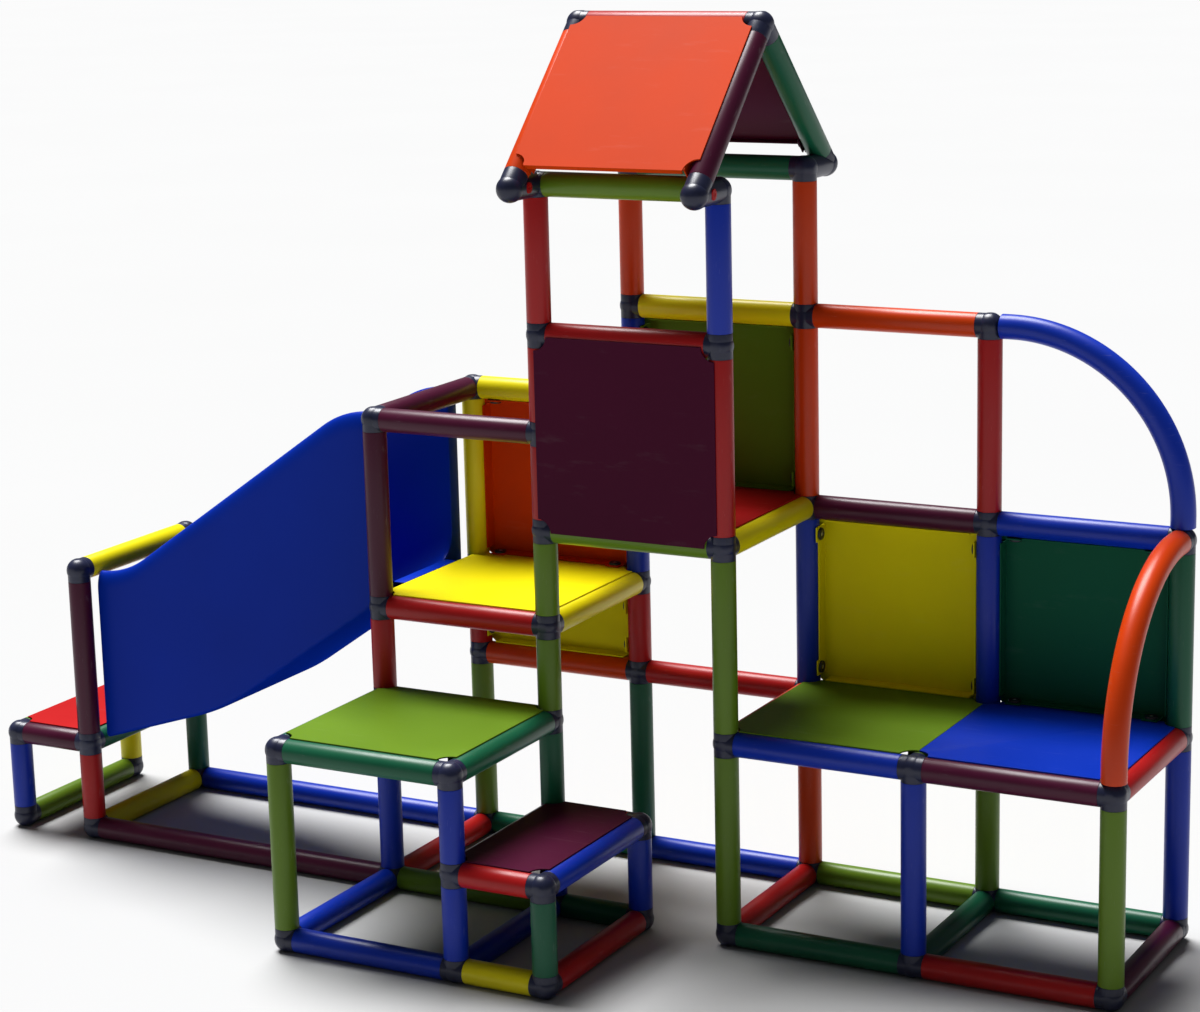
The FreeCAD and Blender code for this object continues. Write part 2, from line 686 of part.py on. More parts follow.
def washer_solid(screw, lift):
    """A black cap washer on a panel's tab, with a recess for the screw's head."""
    base = TUBE_RADIUS + FLANGE_CLEAR + FLANGE + lift
    top = base + WASHER_HEIGHT
    disc = rod(screw.place, screw.outward, base, top, WASHER_RADIUS)
    disc = round_far_rim(disc, screw, top, WASHER_FILLET)
    recess_radius = PANEL_HEAD_RADIUS + RECESS_CLEAR
    recess = rod(screw.place, screw.outward, top - WASHER_RECESS, top + PAST_FACE, recess_radius)
    hole = rod(screw.place, screw.outward, base - PAST_FACE, top, PANEL_SHANK_RADIUS)
    return disc.cut(recess).cut(hole).Solids[0]


def panel_screw_solid(screw, lift):
    """The screw through a cap washer, a tab and a tube, into a spigot."""
    seat = TUBE_RADIUS + FLANGE_CLEAR + FLANGE + lift + WASHER_HEIGHT - WASHER_RECESS
    shank = rod(screw.place, screw.outward, SCREW_TIP, seat, PANEL_SHANK_RADIUS)
    head = rod(screw.place, screw.outward, seat, seat + PANEL_HEAD_HEIGHT, PANEL_HEAD_RADIUS)
    return fuse_all([round_far_rim(head, screw, seat + PANEL_HEAD_HEIGHT, HEAD_ROUND), shank])


# ---- slide ----

def side_point(x, z):
    """A point of the slide's side view, in the plane of its front face."""
    return FreeCAD.Vector(x, SLIDE_FRONT, z)


def bend(before, corner, after, reach):
    """Round a corner between two directions: the tangent points and the arc's middle."""
    into = (corner - before).normalize()
    out_of = (after - corner).normalize()
    start = corner - into * reach
    end = corner + out_of * reach
    half_turn = into.getAngle(out_of) / 2.0
    radius = reach / math.tan(half_turn)
    inwards = (out_of - into).normalize()
    centre = corner + inwards * (radius / math.cos(half_turn))
    return start, centre - inwards * radius, end


def underside_points(drop):
    """The underside's foot, bend and head, lowered by a distance square to each run."""
    foot_rise = math.tan(math.radians(SLIDE_FOOT_SLOPE))
    rise = math.tan(math.radians(SLIDE_SLOPE))
    foot_drop = drop / math.cos(math.radians(SLIDE_FOOT_SLOPE))
    head_drop = drop / math.cos(math.radians(SLIDE_SLOPE))
    foot_z = UNDERSIDE_FOOT_Z - foot_drop
    head_z = UNDERSIDE_HEAD_Z - head_drop
    run = SLIDE_HEAD_X - SLIDE_FOOT_X
    bend_run = (head_z - foot_z - run * rise) / (foot_rise - rise)
    corner = side_point(SLIDE_FOOT_X + bend_run, foot_z + bend_run * foot_rise)
    return side_point(SLIDE_FOOT_X, foot_z), corner, side_point(SLIDE_HEAD_X, head_z)


def underside_edges(drop, reach_out):
    """The underside's edges from foot to head, run on past both ends by a distance."""
    foot, corner, head = underside_points(drop)
    start, middle, end = bend(foot, corner, head, UNDERSIDE_BEND)
    first = foot - (corner - foot).normalize() * reach_out
    last = head + (head - corner).normalize() * reach_out
    arc = Part.Arc(start, middle, end).toShape()
    return [Part.LineSegment(first, start).toShape(), arc, Part.LineSegment(end, last).toShape()], first, last


def rim_edges(inset):
    """The rim's edges from head to foot, lowered by an inset."""
    rise = math.tan(math.radians(SLIDE_SLOPE))
    slope_drop = inset / math.cos(math.radians(SLIDE_SLOPE))
    x_middle, z_middle = RIM_MIDDLE
    foot_z = RIM_FOOT_Z - inset
    head_z = RIM_HEAD_Z - inset
    foot_corner = side_point(x_middle - (z_middle - slope_drop - foot_z) / rise, foot_z)
    head_corner = side_point(x_middle + (head_z - z_middle + slope_drop) / rise, head_z)
    foot = side_point(SLIDE_FOOT_X + inset, foot_z)
    head = side_point(SLIDE_HEAD_X - inset, head_z)
    upper = bend(head, head_corner, foot_corner, RIM_BEND - inset)
    lower = bend(head_corner, foot_corner, foot, RIM_BEND - 2.0 * inset)
    edges = [
        Part.LineSegment(head, upper[0]).toShape(),
        Part.Arc(*upper).toShape(),
        Part.LineSegment(upper[2], lower[0]).toShape(),
        Part.Arc(*lower).toShape(),
        Part.LineSegment(lower[2], foot).toShape(),
    ]
    return edges, head, foot


def long_edges(shape, y, upper):
    """The edges along the slide in one side plane: those of the rims, or those of the bed or underside."""
    found = []
    for edge in shape.Edges:
        box = edge.BoundBox
        along = (box.Center.x - SLIDE_FOOT_X) / (SLIDE_HEAD_X - SLIDE_FOOT_X)
        middle_z = (1.0 - along) * (UNDERSIDE_FOOT_Z + RIM_FOOT_Z) / 2.0
        middle_z += along * (UNDERSIDE_HEAD_Z + RIM_HEAD_Z) / 2.0
        in_plane = abs(box.YMin - y) < NEAR and abs(box.YMax - y) < NEAR
        if in_plane and box.XLength > 1.0 and (box.Center.z > middle_z) == upper:
            found.append(edge)
    return found


def slide_block(inset):
    """The slide's outer body before its channel is cut, with a rounded underside."""
    under, first, last = trimmed_underside(inset)
    rim, head, foot = rim_edges(inset)
    ends = [Part.LineSegment(last, head).toShape(), Part.LineSegment(foot, first).toShape()]
    outline = Part.Wire(Part.sortEdges(under + rim + ends)[0])
    face = Part.Face(outline)
    width = SLIDE_BACK - SLIDE_FRONT - 2.0 * inset
    block = face.extrude(FreeCAD.Vector(0, width, 0))
    block.translate(FreeCAD.Vector(0, inset, 0))
    low_edges = long_edges(block, SLIDE_FRONT + inset, False)
    low_edges += long_edges(block, SLIDE_BACK - inset, False)
    return block.makeFillet(UNDERSIDE_ROUND - inset, low_edges)


def trimmed_underside(inset):
    """The underside's edges, raised by an inset and cut off at the inset ends."""
    foot, corner, head = underside_points(-inset)
    start, middle, end = bend(foot, corner, head, UNDERSIDE_BEND)
    foot = foot + (corner - foot) * (inset / (corner.x - foot.x))
    head = head - (head - corner) * (inset / (head.x - corner.x))
    edges = [
        Part.LineSegment(foot, start).toShape(),
        Part.Arc(start, middle, end).toShape(),
        Part.LineSegment(end, head).toShape(),
    ]
    return edges, foot, head


def slide_channel(grow):
    """The channel that a child slides in, from its bed upwards, with rounded lower corners."""
    bed, first, last = underside_edges(-(SLIDE_BED - grow), CHANNEL_PAST_ENDS)
    over_last = side_point(last.x, CHANNEL_TOP)
    over_first = side_point(first.x, CHANNEL_TOP)
    sides = [
        Part.LineSegment(last, over_last).toShape(),
        Part.LineSegment(over_last, over_first).toShape(),
        Part.LineSegment(over_first, first).toShape(),
    ]
    face = Part.Face(Part.Wire(Part.sortEdges(bed + sides)[0]))
    width = SLIDE_BACK - SLIDE_FRONT - 2.0 * (SLIDE_WALL - grow)
    channel = face.extrude(FreeCAD.Vector(0, width, 0))
    channel.translate(FreeCAD.Vector(0, SLIDE_WALL - grow, 0))
    edges = long_edges(channel, SLIDE_FRONT + SLIDE_WALL - grow, False)
    edges += long_edges(channel, SLIDE_BACK - SLIDE_WALL + grow, False)
    return channel.makeFillet(BED_ROUND + grow, edges)


def rounded_rims(body, inset):
    """Round both long edges of both rims."""
    edges = []
    wall_faces = (SLIDE_FRONT + inset, SLIDE_FRONT + SLIDE_WALL - inset)
    wall_faces += (SLIDE_BACK - SLIDE_WALL + inset, SLIDE_BACK - inset)
    for y in wall_faces:
        edges += long_edges(body, y, True)
    return body.makeFillet(RIM_ROUND - inset, edges)


def slide_lip(x_low, x_high, z_low):
    """A thin lip across the channel's end, over the tube beside it."""
    y_low = SLIDE_FRONT + SLIDE_WALL + BED_ROUND / 2.0
    y_high = SLIDE_BACK - SLIDE_WALL - BED_ROUND / 2.0
    corner = FreeCAD.Vector(x_low, y_low, z_low)
    return Part.makeBox(x_high - x_low, y_high - y_low, LIP_THICKNESS, corner)


def slide_solid():
    """The moulded slide: a closed shell with a lip at its foot and its head."""
    body = rounded_rims(slide_block(0.0).cut(slide_channel(0.0)), 0.0)
    hollow = rounded_rims(slide_block(SLIDE_SHELL).cut(slide_channel(SLIDE_SHELL)), SLIDE_SHELL)
    shell = body.cut(hollow)
    over_head_tube = HEAD_TUBE_Z * PITCH + TUBE_RADIUS + LIP_CLEAR
    over_foot_tube = FOOT_TUBE_Z * PITCH + TUBE_RADIUS + LIP_CLEAR
    lips = [
        slide_lip(SLIDE_HEAD_X - LIP_ROOT, SLIDE_HEAD_X + LIP_REACH, over_head_tube),
        slide_lip(SLIDE_FOOT_X - LIP_REACH, SLIDE_FOOT_X + LIP_ROOT, over_foot_tube),
    ]
    whole = fuse_all([shell] + lips)
    whole.translate(-ORIGIN)
    return whole


# ---- the whole frame ----

def save_tubes(tubes, screws):
    """Write the tubes, one node to each cut length and colour."""
    groups = {}
    for tube in tubes:
        key = "tube_%d_%s" % (round(tube.length()), tube.colour)
        own = [screw for screw in screws if tube.holds(screw.place)]
        solid = drill(tube.solid(), own, PAST_TUBE, True)
        groups.setdefault(key, []).append(solid)
    for name in sorted(groups):
        save(name, groups[name])


def save_connectors(connectors, screws):
    """Write the connectors, one node to each number of sockets, and the roof's own kinds."""
    groups = {}
    roof = []
    for centre, arms in connectors:
        if is_roof_place(centre):
            roof.append((centre, arms))
            continue
        near = [screw for screw in screws if (screw.place - centre).Length < COLLAR + SPIGOT_LENGTH]
        solid = drill(connector_solid(centre, arms), near, TUBE_RADIUS + PAST_FACE)
        groups.setdefault(len(arms), []).append(solid)
    words = {2: "two", 3: "three", 4: "four", 5: "five"}
    for count in sorted(groups):
        save("connector_%s_way" % words[count], groups[count])
    save_roof_connectors(roof, screws)


def save_roof_connectors(places, screws):
    """Write the eave connectors with their plugs, and the apex connectors."""
    plugs = []
    apex = []
    eaves = {"front": [], "back": []}
    for centre, arms in places:
        if same(centre, grid(3.5, APEX_Y, APEX_Z)) or same(centre, grid(4.5, APEX_Y, APEX_Z)):
            slopes = [Arm(-UP_FRONT_SLOPE, SLOPE_COLLAR), Arm(-UP_BACK_SLOPE, SLOPE_COLLAR)]
            solid = connector_solid(centre, arms + slopes)
            apex.append(drill(solid, near_screws(screws, centre), TUBE_RADIUS + PAST_FACE))
            continue
        front = centre.y < grid(0, APEX_Y, 0).y
        solid = eave_connector(centre, arms, front)
        solid = drill(solid, near_screws(screws, centre), TUBE_RADIUS - PAST_FACE)
        eaves["front" if front else "back"].append(solid)
        plugs.append(plug_solid(centre, front))
    save("connector_eave_front", eaves["front"])
    save("connector_eave_back", eaves["back"])
    save("connector_apex", apex)
    save("eave_plugs_red", plugs)


def near_screws(screws, centre):
    """The screws that can reach a roof connector."""
    reach = PITCH * EAVE_OVERHANG + SLOPE_COLLAR + SPIGOT_LENGTH
    return [screw for screw in screws if (screw.place - centre).Length < reach]


def main():
    """Build every piece of the climbing frame and write one file to each node."""
    os.makedirs("parts", exist_ok=True)
    tubes = all_tubes()
    arcs = {
        "arc_tube_blue": ArcTube(grid(5.5, 2, 3), X_AXIS, grid(6.5, 2, 2), -Z_AXIS),
        "arc_tube_orange": ArcTube(grid(6.5, 2, 2), -Y_AXIS, grid(6.5, 1, 1), -Z_AXIS),
    }
    panels = all_panels()
    panel_screws = [entry for panel in panels for entry in panel.screws()]
    taken = [(screw.place, screw.outward) for screw, lift in panel_screws]
    for panel in panels:
        taken += [(screw.place, panel.z_way) for screw, lift in panel.screws()]
    arc_screws = {
        "arc_tube_blue": arcs["arc_tube_blue"].screws(Y_AXIS),
        "arc_tube_orange": arcs["arc_tube_orange"].screws(X_AXIS),
    }
    small_screws = tube_screws(tubes, taken) + arc_screws["arc_tube_blue"] + arc_screws["arc_tube_orange"]
    holes = [screw for screw, lift in panel_screws]
    screws = small_screws + holes

    save_tubes(tubes, screws)
    for name, arc in arcs.items():
        save(name, [drill(arc.solid(), arc_screws[name], PAST_TUBE, True)])
    save_connectors(collect_arms(tubes, arcs.values()), screws)
    for panel in panels:
        save(panel.name, [drill(panel.solid(), holes, TUBE_RADIUS + FLANGE + RAISED + PAST_FACE)])
    save("slide_blue", [slide_solid()])
    save("tube_screws", [screw_solid(screw) for screw in small_screws])
    save("panel_washers", [washer_solid(screw, lift) for screw, lift in panel_screws])
    save("panel_screws", [panel_screw_solid(screw, lift) for screw, lift in panel_screws])


main()
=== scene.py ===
"""The looks of a modular climbing frame: tubes, connectors, panels, slide, arcs, roof and fasteners.

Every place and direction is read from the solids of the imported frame, so each finished piece lies where
its solid lies. Lengths are in metres.
"""

import logging
import math
from dataclasses import dataclass, field
from enum import Enum
from functools import cache
from typing import Any, Iterable, Optional, Sequence

import bmesh
import bpy
import numpy as np
from bmesh.types import BMEdge, BMesh, BMFace, BMVert
from mathutils import Euler, Matrix, Vector


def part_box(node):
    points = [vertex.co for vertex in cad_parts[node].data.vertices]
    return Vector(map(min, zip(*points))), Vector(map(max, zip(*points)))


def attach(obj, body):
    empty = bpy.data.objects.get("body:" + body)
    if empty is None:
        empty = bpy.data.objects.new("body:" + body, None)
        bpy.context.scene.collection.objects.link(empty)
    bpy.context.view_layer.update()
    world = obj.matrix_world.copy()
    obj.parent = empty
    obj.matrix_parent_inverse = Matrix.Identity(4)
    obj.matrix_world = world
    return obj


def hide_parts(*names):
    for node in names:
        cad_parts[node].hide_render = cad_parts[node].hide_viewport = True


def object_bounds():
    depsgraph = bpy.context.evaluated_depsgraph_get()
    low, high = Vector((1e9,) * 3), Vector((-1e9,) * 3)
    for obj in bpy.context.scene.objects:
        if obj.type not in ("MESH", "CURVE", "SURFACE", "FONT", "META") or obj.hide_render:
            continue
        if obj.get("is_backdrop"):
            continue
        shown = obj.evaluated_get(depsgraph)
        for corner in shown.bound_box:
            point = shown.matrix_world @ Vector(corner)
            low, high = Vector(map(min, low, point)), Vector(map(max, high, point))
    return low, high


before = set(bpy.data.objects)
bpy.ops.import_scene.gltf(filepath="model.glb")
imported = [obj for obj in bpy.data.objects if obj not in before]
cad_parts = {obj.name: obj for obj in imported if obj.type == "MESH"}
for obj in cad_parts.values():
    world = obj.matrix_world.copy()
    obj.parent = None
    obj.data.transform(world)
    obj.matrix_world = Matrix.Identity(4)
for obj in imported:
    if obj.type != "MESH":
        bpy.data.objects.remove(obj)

LOG = logging.getLogger("climbing_frame")
BODY = "root"
RUBBED_GREY = (0.8, 0.8, 0.8)
Numbers = tuple[float, ...]
Outline = list[tuple[float, float]]

X_WAY = Vector((1.0, 0.0, 0.0))
Y_WAY = Vector((0.0, 1.0, 0.0))
Z_WAY = Vector((0.0, 0.0, 1.0))


class Hue(Enum):
    """The colours that the plastic is moulded in, as linear red, green and blue."""

    RED = (0.37, 0.0068, 0.0075)
    ORANGE = (0.58, 0.044, 0.001)
    YELLOW = (0.74, 0.64, 0.003)
    LIME = (0.105, 0.192, 0.011)
    GREEN = (0.006, 0.096, 0.045)
    BLUE = (0.002, 0.025, 0.35)
    PLUM = (0.062, 0.0045, 0.024)

    @classmethod
    def of_node(cls, node: str) -> "Hue":
        """The hue that ends a node's name."""
        return cls[node.rsplit("_", 1)[-1].upper()]


class Shading(Enum):
    """How a finished mesh is shaded: the sharpest edge, in degrees, that still looks round."""

    TURNED = 38.0
    MOULDED = 50.0


# ---- finishes ----


class NodeBench:
    """A material's node tree, built a node at a time."""

    def __init__(self, name: str) -> None:
        """Start an empty material.

        Args:
            name: The material's name.
        """
        self.material = bpy.data.materials.new(name)
        self.material.use_nodes = True
        self.tree = self.material.node_tree
        self.tree.nodes.clear()

    def add(self, kind: str, settings: Optional[dict[str, Any]] = None, **inputs: Any) -> bpy.types.Node:
        """Add a node.

        Args:
            kind: The node's type name.
            settings: Its own properties, such as an operation.
            **inputs: Values for its sockets, with underscores for spaces. A socket here is linked instead.

        Returns:
            The new node.
        """
        node = self.tree.nodes.new(kind)
        for key, value in (settings or {}).items():
            setattr(node, key, value)
        for key, value in inputs.items():
            self.feed(node.inputs[key.replace("_", " ")], value)
        return node

    def feed(self, socket: bpy.types.NodeSocket, value: Any) -> None:
        """Link a socket to another node's output, or set its value.

        Args:
            socket: The input.
            value: An output socket, or a plain value.
        """
        if isinstance(value, bpy.types.NodeSocket):
            self.tree.links.new(value, socket)
        else:
            socket.default_value = value

    def sums(self, operation: str, first: Any, second: Any) -> bpy.types.NodeSocket:
        """Do arithmetic on two numbers.

        Args:
            operation: The Math node's operation.
            first: The first number or output.
            second: The second number or output.

        Returns:
            The result's socket.
        """
        node = self.add("ShaderNodeMath", {"operation": operation})
        self.feed(node.inputs[0], first)
        self.feed(node.inputs[1], second)
        return node.outputs[0]

    def spread(self, source: Any, to_low: float, to_high: float, low: float = 0.3,
               high: float = 0.7) -> bpy.types.NodeSocket:
        """Map one range of a number to another, clamped.

        Args:
            source: The number's output.
            to_low: What the start of the range becomes.
            to_high: What its end becomes.
            low: The start of the range that is read.
            high: Its end.

        Returns:
            The result's socket.
        """
        node = self.add("ShaderNodeMapRange", None, Value=source)
        for name, value in (("From Min", low), ("From Max", high), ("To Min", to_low), ("To Max", to_high)):
            node.inputs[name].default_value = value
        return node.outputs["Result"]

    def noise(self, where: Any, scale: float, detail: float, roughness: float = 0.5) -> bpy.types.NodeSocket:
        """A noise pattern, with its scale in waves to a metre and its detail in octaves."""
        node = self.add("ShaderNodeTexNoise", None, Vector=where, Scale=scale, Detail=detail,
                        Roughness=roughness)
        return node.outputs[0]

    def stretch(self, where: Any, scale: Numbers) -> bpy.types.NodeSocket:
        """Coordinates scaled along x, y and z."""
        return self.add("ShaderNodeMapping", None, Vector=where, Scale=scale).outputs[0]

    def place(self) -> bpy.types.NodeSocket:
        """The piece's own coordinates."""
        return self.add("ShaderNodeTexCoord").outputs["Object"]

    def attribute(self, name: str, output: str = "Fac") -> bpy.types.NodeSocket:
        """One output of an attribute of the mesh."""
        return self.add("ShaderNodeAttribute", {"attribute_name": name}).outputs[output]

    def tinted(self, colour: Numbers, brightness: Any) -> bpy.types.NodeSocket:
        """A colour, brighter or darker by a factor."""
        return self.add("ShaderNodeHueSaturation", None, Color=(*colour, 1.0), Value=brightness).outputs[0]

    def rubbed_paler(self, colour: bpy.types.NodeSocket, rubbed: Any, share: float,
                     pale: Numbers) -> bpy.types.NodeSocket:
        """Mix a colour with a paler one where the surface is rubbed.

        Args:
            colour: The colour's output.
            rubbed: How rubbed the surface is, from 0 to 1.
            share: How much of the paler colour shows where it is rubbed most.
            pale: The paler colour.

        Returns:
            The worn colour's socket.
        """
        node = self.add("ShaderNodeMix", {"data_type": "RGBA"})
        self.feed(node.inputs[0], self.sums("MULTIPLY", rubbed, share))
        self.feed(node.inputs[6], colour)
        node.inputs[7].default_value = (*pale, 1.0)
        return node.outputs[2]

    def relief(self, height: Any, strength: float, depth: float) -> bpy.types.NodeSocket:
        """The normals of a surface with a fine relief."""
        return self.add("ShaderNodeBump", None, Height=height, Strength=strength, Distance=depth).outputs[0]

    def finish(self, **inputs: Any) -> bpy.types.Material:
        """Join a shader to the output.

        Args:
            **inputs: Values for the shader's sockets.

        Returns:
            The material.
        """
        shader = self.add("ShaderNodeBsdfPrincipled", None, **inputs)
        output = self.add("ShaderNodeOutputMaterial")
        self.tree.links.new(shader.outputs[0], output.inputs["Surface"])
        return self.material


@dataclass(frozen=True)
class TubePlastic:
    """Extruded gloss plastic: fine lines along the tube, slight differences between tubes, light scuffs."""

    hue: Hue
    gloss: float = 0.34
    shine: float = 0.26
    line_scale: float = 900.0
    scuff_scale: float = 26.0
    scuff_share: float = 0.05
    tone_reach: float = 0.07

    def build(self) -> bpy.types.Material:
        """Build the material from the tube's own coordinates."""
        bench = NodeBench("tube_plastic_%s" % self.hue.name.lower())
        lay, where = bench.attribute("lay", "Vector"), bench.place()
        cloud = bench.noise(where, 7.0, 3.0)
        scuff_stretch = (self.scuff_scale * 9.0, self.scuff_scale, self.scuff_scale)
        scuffs = bench.noise(bench.stretch(lay, scuff_stretch), 1.0, 6.0, 0.65)
        scuffed = bench.spread(scuffs, 0.0, 1.0, 0.62, 0.74)
        own = bench.spread(bench.attribute("tone"), 1.0 - self.tone_reach, 1.0 + self.tone_reach, 0.0, 1.0)
        colour = bench.tinted(self.hue.value, bench.sums("ADD", own, bench.spread(cloud, -0.035, 0.035)))
        base = bench.spread(cloud, self.gloss - 0.04, self.gloss + 0.05, 0.25, 0.75)
        lines = bench.noise(bench.stretch(lay, (self.line_scale, self.line_scale, 6.0)), 1.0, 2.0)
        peel = bench.noise(where, 190.0, 2.0)
        height = bench.sums("ADD", bench.sums("MULTIPLY", lines, 0.35), bench.sums("MULTIPLY", peel, 0.65))
        return bench.finish(Base_Color=bench.rubbed_paler(colour, scuffed, self.scuff_share, RUBBED_GREY),
                            Roughness=bench.sums("ADD", base, bench.sums("MULTIPLY", scuffed, 0.16)),
                            Normal=bench.relief(height, 0.09, 0.0006), Specular_IOR_Level=self.shine)


@dataclass(frozen=True)
class SheetPlastic:
    """Moulded sheet plastic with a fine, even grain and a few faint rubbed streaks."""

    hue: Hue
    gloss: float = 0.42
    shine: float = 0.05
    grain_scale: float = 1400.0
    rub_share: float = 0.018

    def build(self) -> bpy.types.Material:
        """Build the material on object coordinates."""
        bench = NodeBench("sheet_plastic_%s" % self.hue.name.lower())
        where = bench.place()
        cells = bench.add("ShaderNodeTexVoronoi", None, Vector=where, Scale=self.grain_scale)
        cloud = bench.noise(where, 5.0, 4.0)
        rub = bench.noise(bench.stretch(where, (9.0, 70.0, 40.0)), 1.0, 5.0, 0.6)
        rubbed = bench.spread(rub, 0.0, 1.0, 0.60, 0.76)
        colour = bench.tinted(self.hue.value, bench.spread(cloud, 0.955, 1.045))
        base = bench.spread(cloud, self.gloss - 0.03, self.gloss + 0.06, 0.25, 0.75)
        return bench.finish(Base_Color=bench.rubbed_paler(colour, rubbed, self.rub_share, RUBBED_GREY),
                            Roughness=bench.sums("SUBTRACT", base, bench.sums("MULTIPLY", rubbed, 0.08)),
                            Normal=bench.relief(cells.outputs["Distance"], 0.12, 0.0003),
                            Specular_IOR_Level=self.shine)


@dataclass(frozen=True)
class SlidePlastic:
    """Blow-moulded plastic: slow waves in the surface, a bed polished by use, and a matt underside."""

    hue: Hue
    gloss: float = 0.33
    shine: float = 0.06
    scratch_share: float = 0.06
    scratched_blue: Numbers = (0.7, 0.75, 0.85)

    def build(self) -> bpy.types.Material:
        """Build the material; the attribute "worn" is where clothes polish the bed, "matt" what is matt."""
        bench = NodeBench("slide_plastic_%s" % self.hue.name.lower())
        where, polished = bench.place(), bench.attribute("worn")
        cloud = bench.noise(where, 3.0, 4.0)
        streaks = bench.noise(bench.stretch(where, (4.0, 260.0, 4.0)), 1.0, 4.0, 0.6)
        scratched = bench.sums("MULTIPLY", bench.spread(streaks, 0.0, 1.0, 0.60, 0.70), polished)
        colour = bench.tinted(self.hue.value, bench.spread(cloud, 0.94, 1.06))
        worn = bench.rubbed_paler(colour, scratched, self.scratch_share, self.scratched_blue)
        base = bench.spread(cloud, self.gloss - 0.03, self.gloss + 0.05, 0.25, 0.75)
        swell, pebble = bench.noise(where, 5.0, 1.0), bench.noise(where, 420.0, 3.0)
        height = bench.sums("ADD", bench.sums("MULTIPLY", swell, 2.2), bench.sums("MULTIPLY", pebble, 0.12))
        shine = bench.spread(bench.attribute("matt"), self.shine, 0.0, 0.0, 1.0)
        return bench.finish(Base_Color=worn,
                            Roughness=bench.sums("SUBTRACT", base, bench.sums("MULTIPLY", polished, 0.08)),
                            Normal=bench.relief(height, 0.10, 0.002), Specular_IOR_Level=shine)


@dataclass(frozen=True)
class ConnectorPlastic:
    """Blue-black moulded plastic with a satin surface and slightly paler rubbed spots."""

    colour: Numbers = (0.0115, 0.0145, 0.042)
    rubbed_colour: Numbers = (0.25, 0.27, 0.33)
    rub_share: float = 0.05
    gloss: float = 0.34
    shine: float = 0.4

    def build(self) -> bpy.types.Material:
        """Build the material on object coordinates."""
        bench = NodeBench("connector_plastic")
        where = bench.place()
        cloud = bench.noise(where, 22.0, 4.0)
        rubbed = bench.spread(bench.noise(where, 75.0, 5.0, 0.7), 0.0, 1.0, 0.58, 0.72)
        brightness = bench.sums("MULTIPLY", bench.spread(bench.attribute("tone"), 0.88, 1.12, 0.0, 1.0),
                                bench.spread(cloud, 0.86, 1.14))
        colour = bench.tinted(self.colour, brightness)
        base = bench.spread(cloud, self.gloss - 0.05, self.gloss + 0.05, 0.25, 0.75)
        return bench.finish(Base_Color=bench.rubbed_paler(colour, rubbed, self.rub_share, self.rubbed_colour),
                            Roughness=bench.sums("ADD", base, bench.sums("MULTIPLY", rubbed, 0.10)),
                            Normal=bench.relief(bench.noise(where, 700.0, 3.0), 0.10, 0.0005),
                            Specular_IOR_Level=self.shine)


@dataclass(frozen=True)
class WasherPlastic:
    """Satin black plastic of the cap washers."""

    colour: Numbers = (0.012, 0.013, 0.017)

    def build(self) -> bpy.types.Material:
        """Build the material on object coordinates."""
        bench = NodeBench("washer_plastic")
        where = bench.place()
        cloud, grain = bench.noise(where, 120.0, 4.0), bench.noise(where, 1500.0, 2.0)
        return bench.finish(Base_Color=bench.tinted(self.colour, bench.spread(cloud, 0.8, 1.35)),
                            Roughness=bench.spread(cloud, 0.38, 0.52),
                            Normal=bench.relief(grain, 0.15, 0.0002))


@dataclass(frozen=True)
class ScrewSteel:
    """Zinc-plated steel with a faint mottled plating."""

    colour: Numbers = (0.62, 0.63, 0.65)

    def build(self) -> bpy.types.Material:
        """Build the material on object coordinates."""
        bench = NodeBench("screw_steel")
        mottle = bench.noise(bench.place(), 500.0, 4.0)
        return bench.finish(Base_Color=bench.tinted(self.colour, bench.spread(mottle, 0.82, 1.12)),
                            Metallic=1.0, Roughness=bench.spread(mottle, 0.24, 0.42),
                            Normal=bench.relief(mottle, 0.2, 0.0001))


@dataclass(frozen=True)
class FloorFinish:
    """A plain pale floor."""

    colour: Numbers = (0.44, 0.44, 0.44)

    def build(self) -> bpy.types.Material:
        """Build the material on object coordinates."""
        bench = NodeBench("pale_floor")
        cloud = bench.noise(bench.place(), 0.6, 2.0)
        return bench.finish(Base_Color=bench.tinted(self.colour, bench.spread(cloud, 0.995, 1.005)),
                            Roughness=0.95, Specular_IOR_Level=0.0)


@cache
def plastic(kind: type[TubePlastic] | type[SheetPlastic], hue: Hue) -> bpy.types.Material:
    """The plastic of one kind and colour, made when it is first asked for."""
    return kind(hue).build()


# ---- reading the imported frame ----


@dataclass
class Solid:
    """The corner points of one solid of a node."""

    points: np.ndarray

    @property
    def low(self) -> Vector:
        """The lowest corner of its box."""
        return Vector(self.points.min(axis=0))

    @property
    def high(self) -> Vector:
        """The highest corner of its box."""
        return Vector(self.points.max(axis=0))

    @property
    def size(self) -> Vector:
        """Its box's sides."""
        return self.high - self.low

    @property
    def middle(self) -> Vector:
        """The middle of its box."""
        return (self.high + self.low) / 2.0

    def along(self, way: Vector) -> tuple[float, float]:
        """The least and greatest distance of its points along a direction."""
        distances = self.points @ np.array(way)
        return float(distances.min()), float(distances.max())

    def turned_axis(self, longest: bool) -> Vector:
        """The axis of a small turned solid.

        Args:
            longest: Whether the axis is its longest direction, as on a screw, or its shortest, as on a disc.

        Returns:
            The axis, pointing to the end that has more corner points, which is its rounded one.
        """
        offsets = self.points - self.points.mean(axis=0)
        _, ways = np.linalg.eigh(offsets.T @ offsets)
        way = Vector(ways[:, 2 if longest else 0]).normalized()
        low, high = self.along(way)
        crowd = float((self.points @ np.array(way)).mean())
        return way if crowd > (low + high) / 2.0 else -way


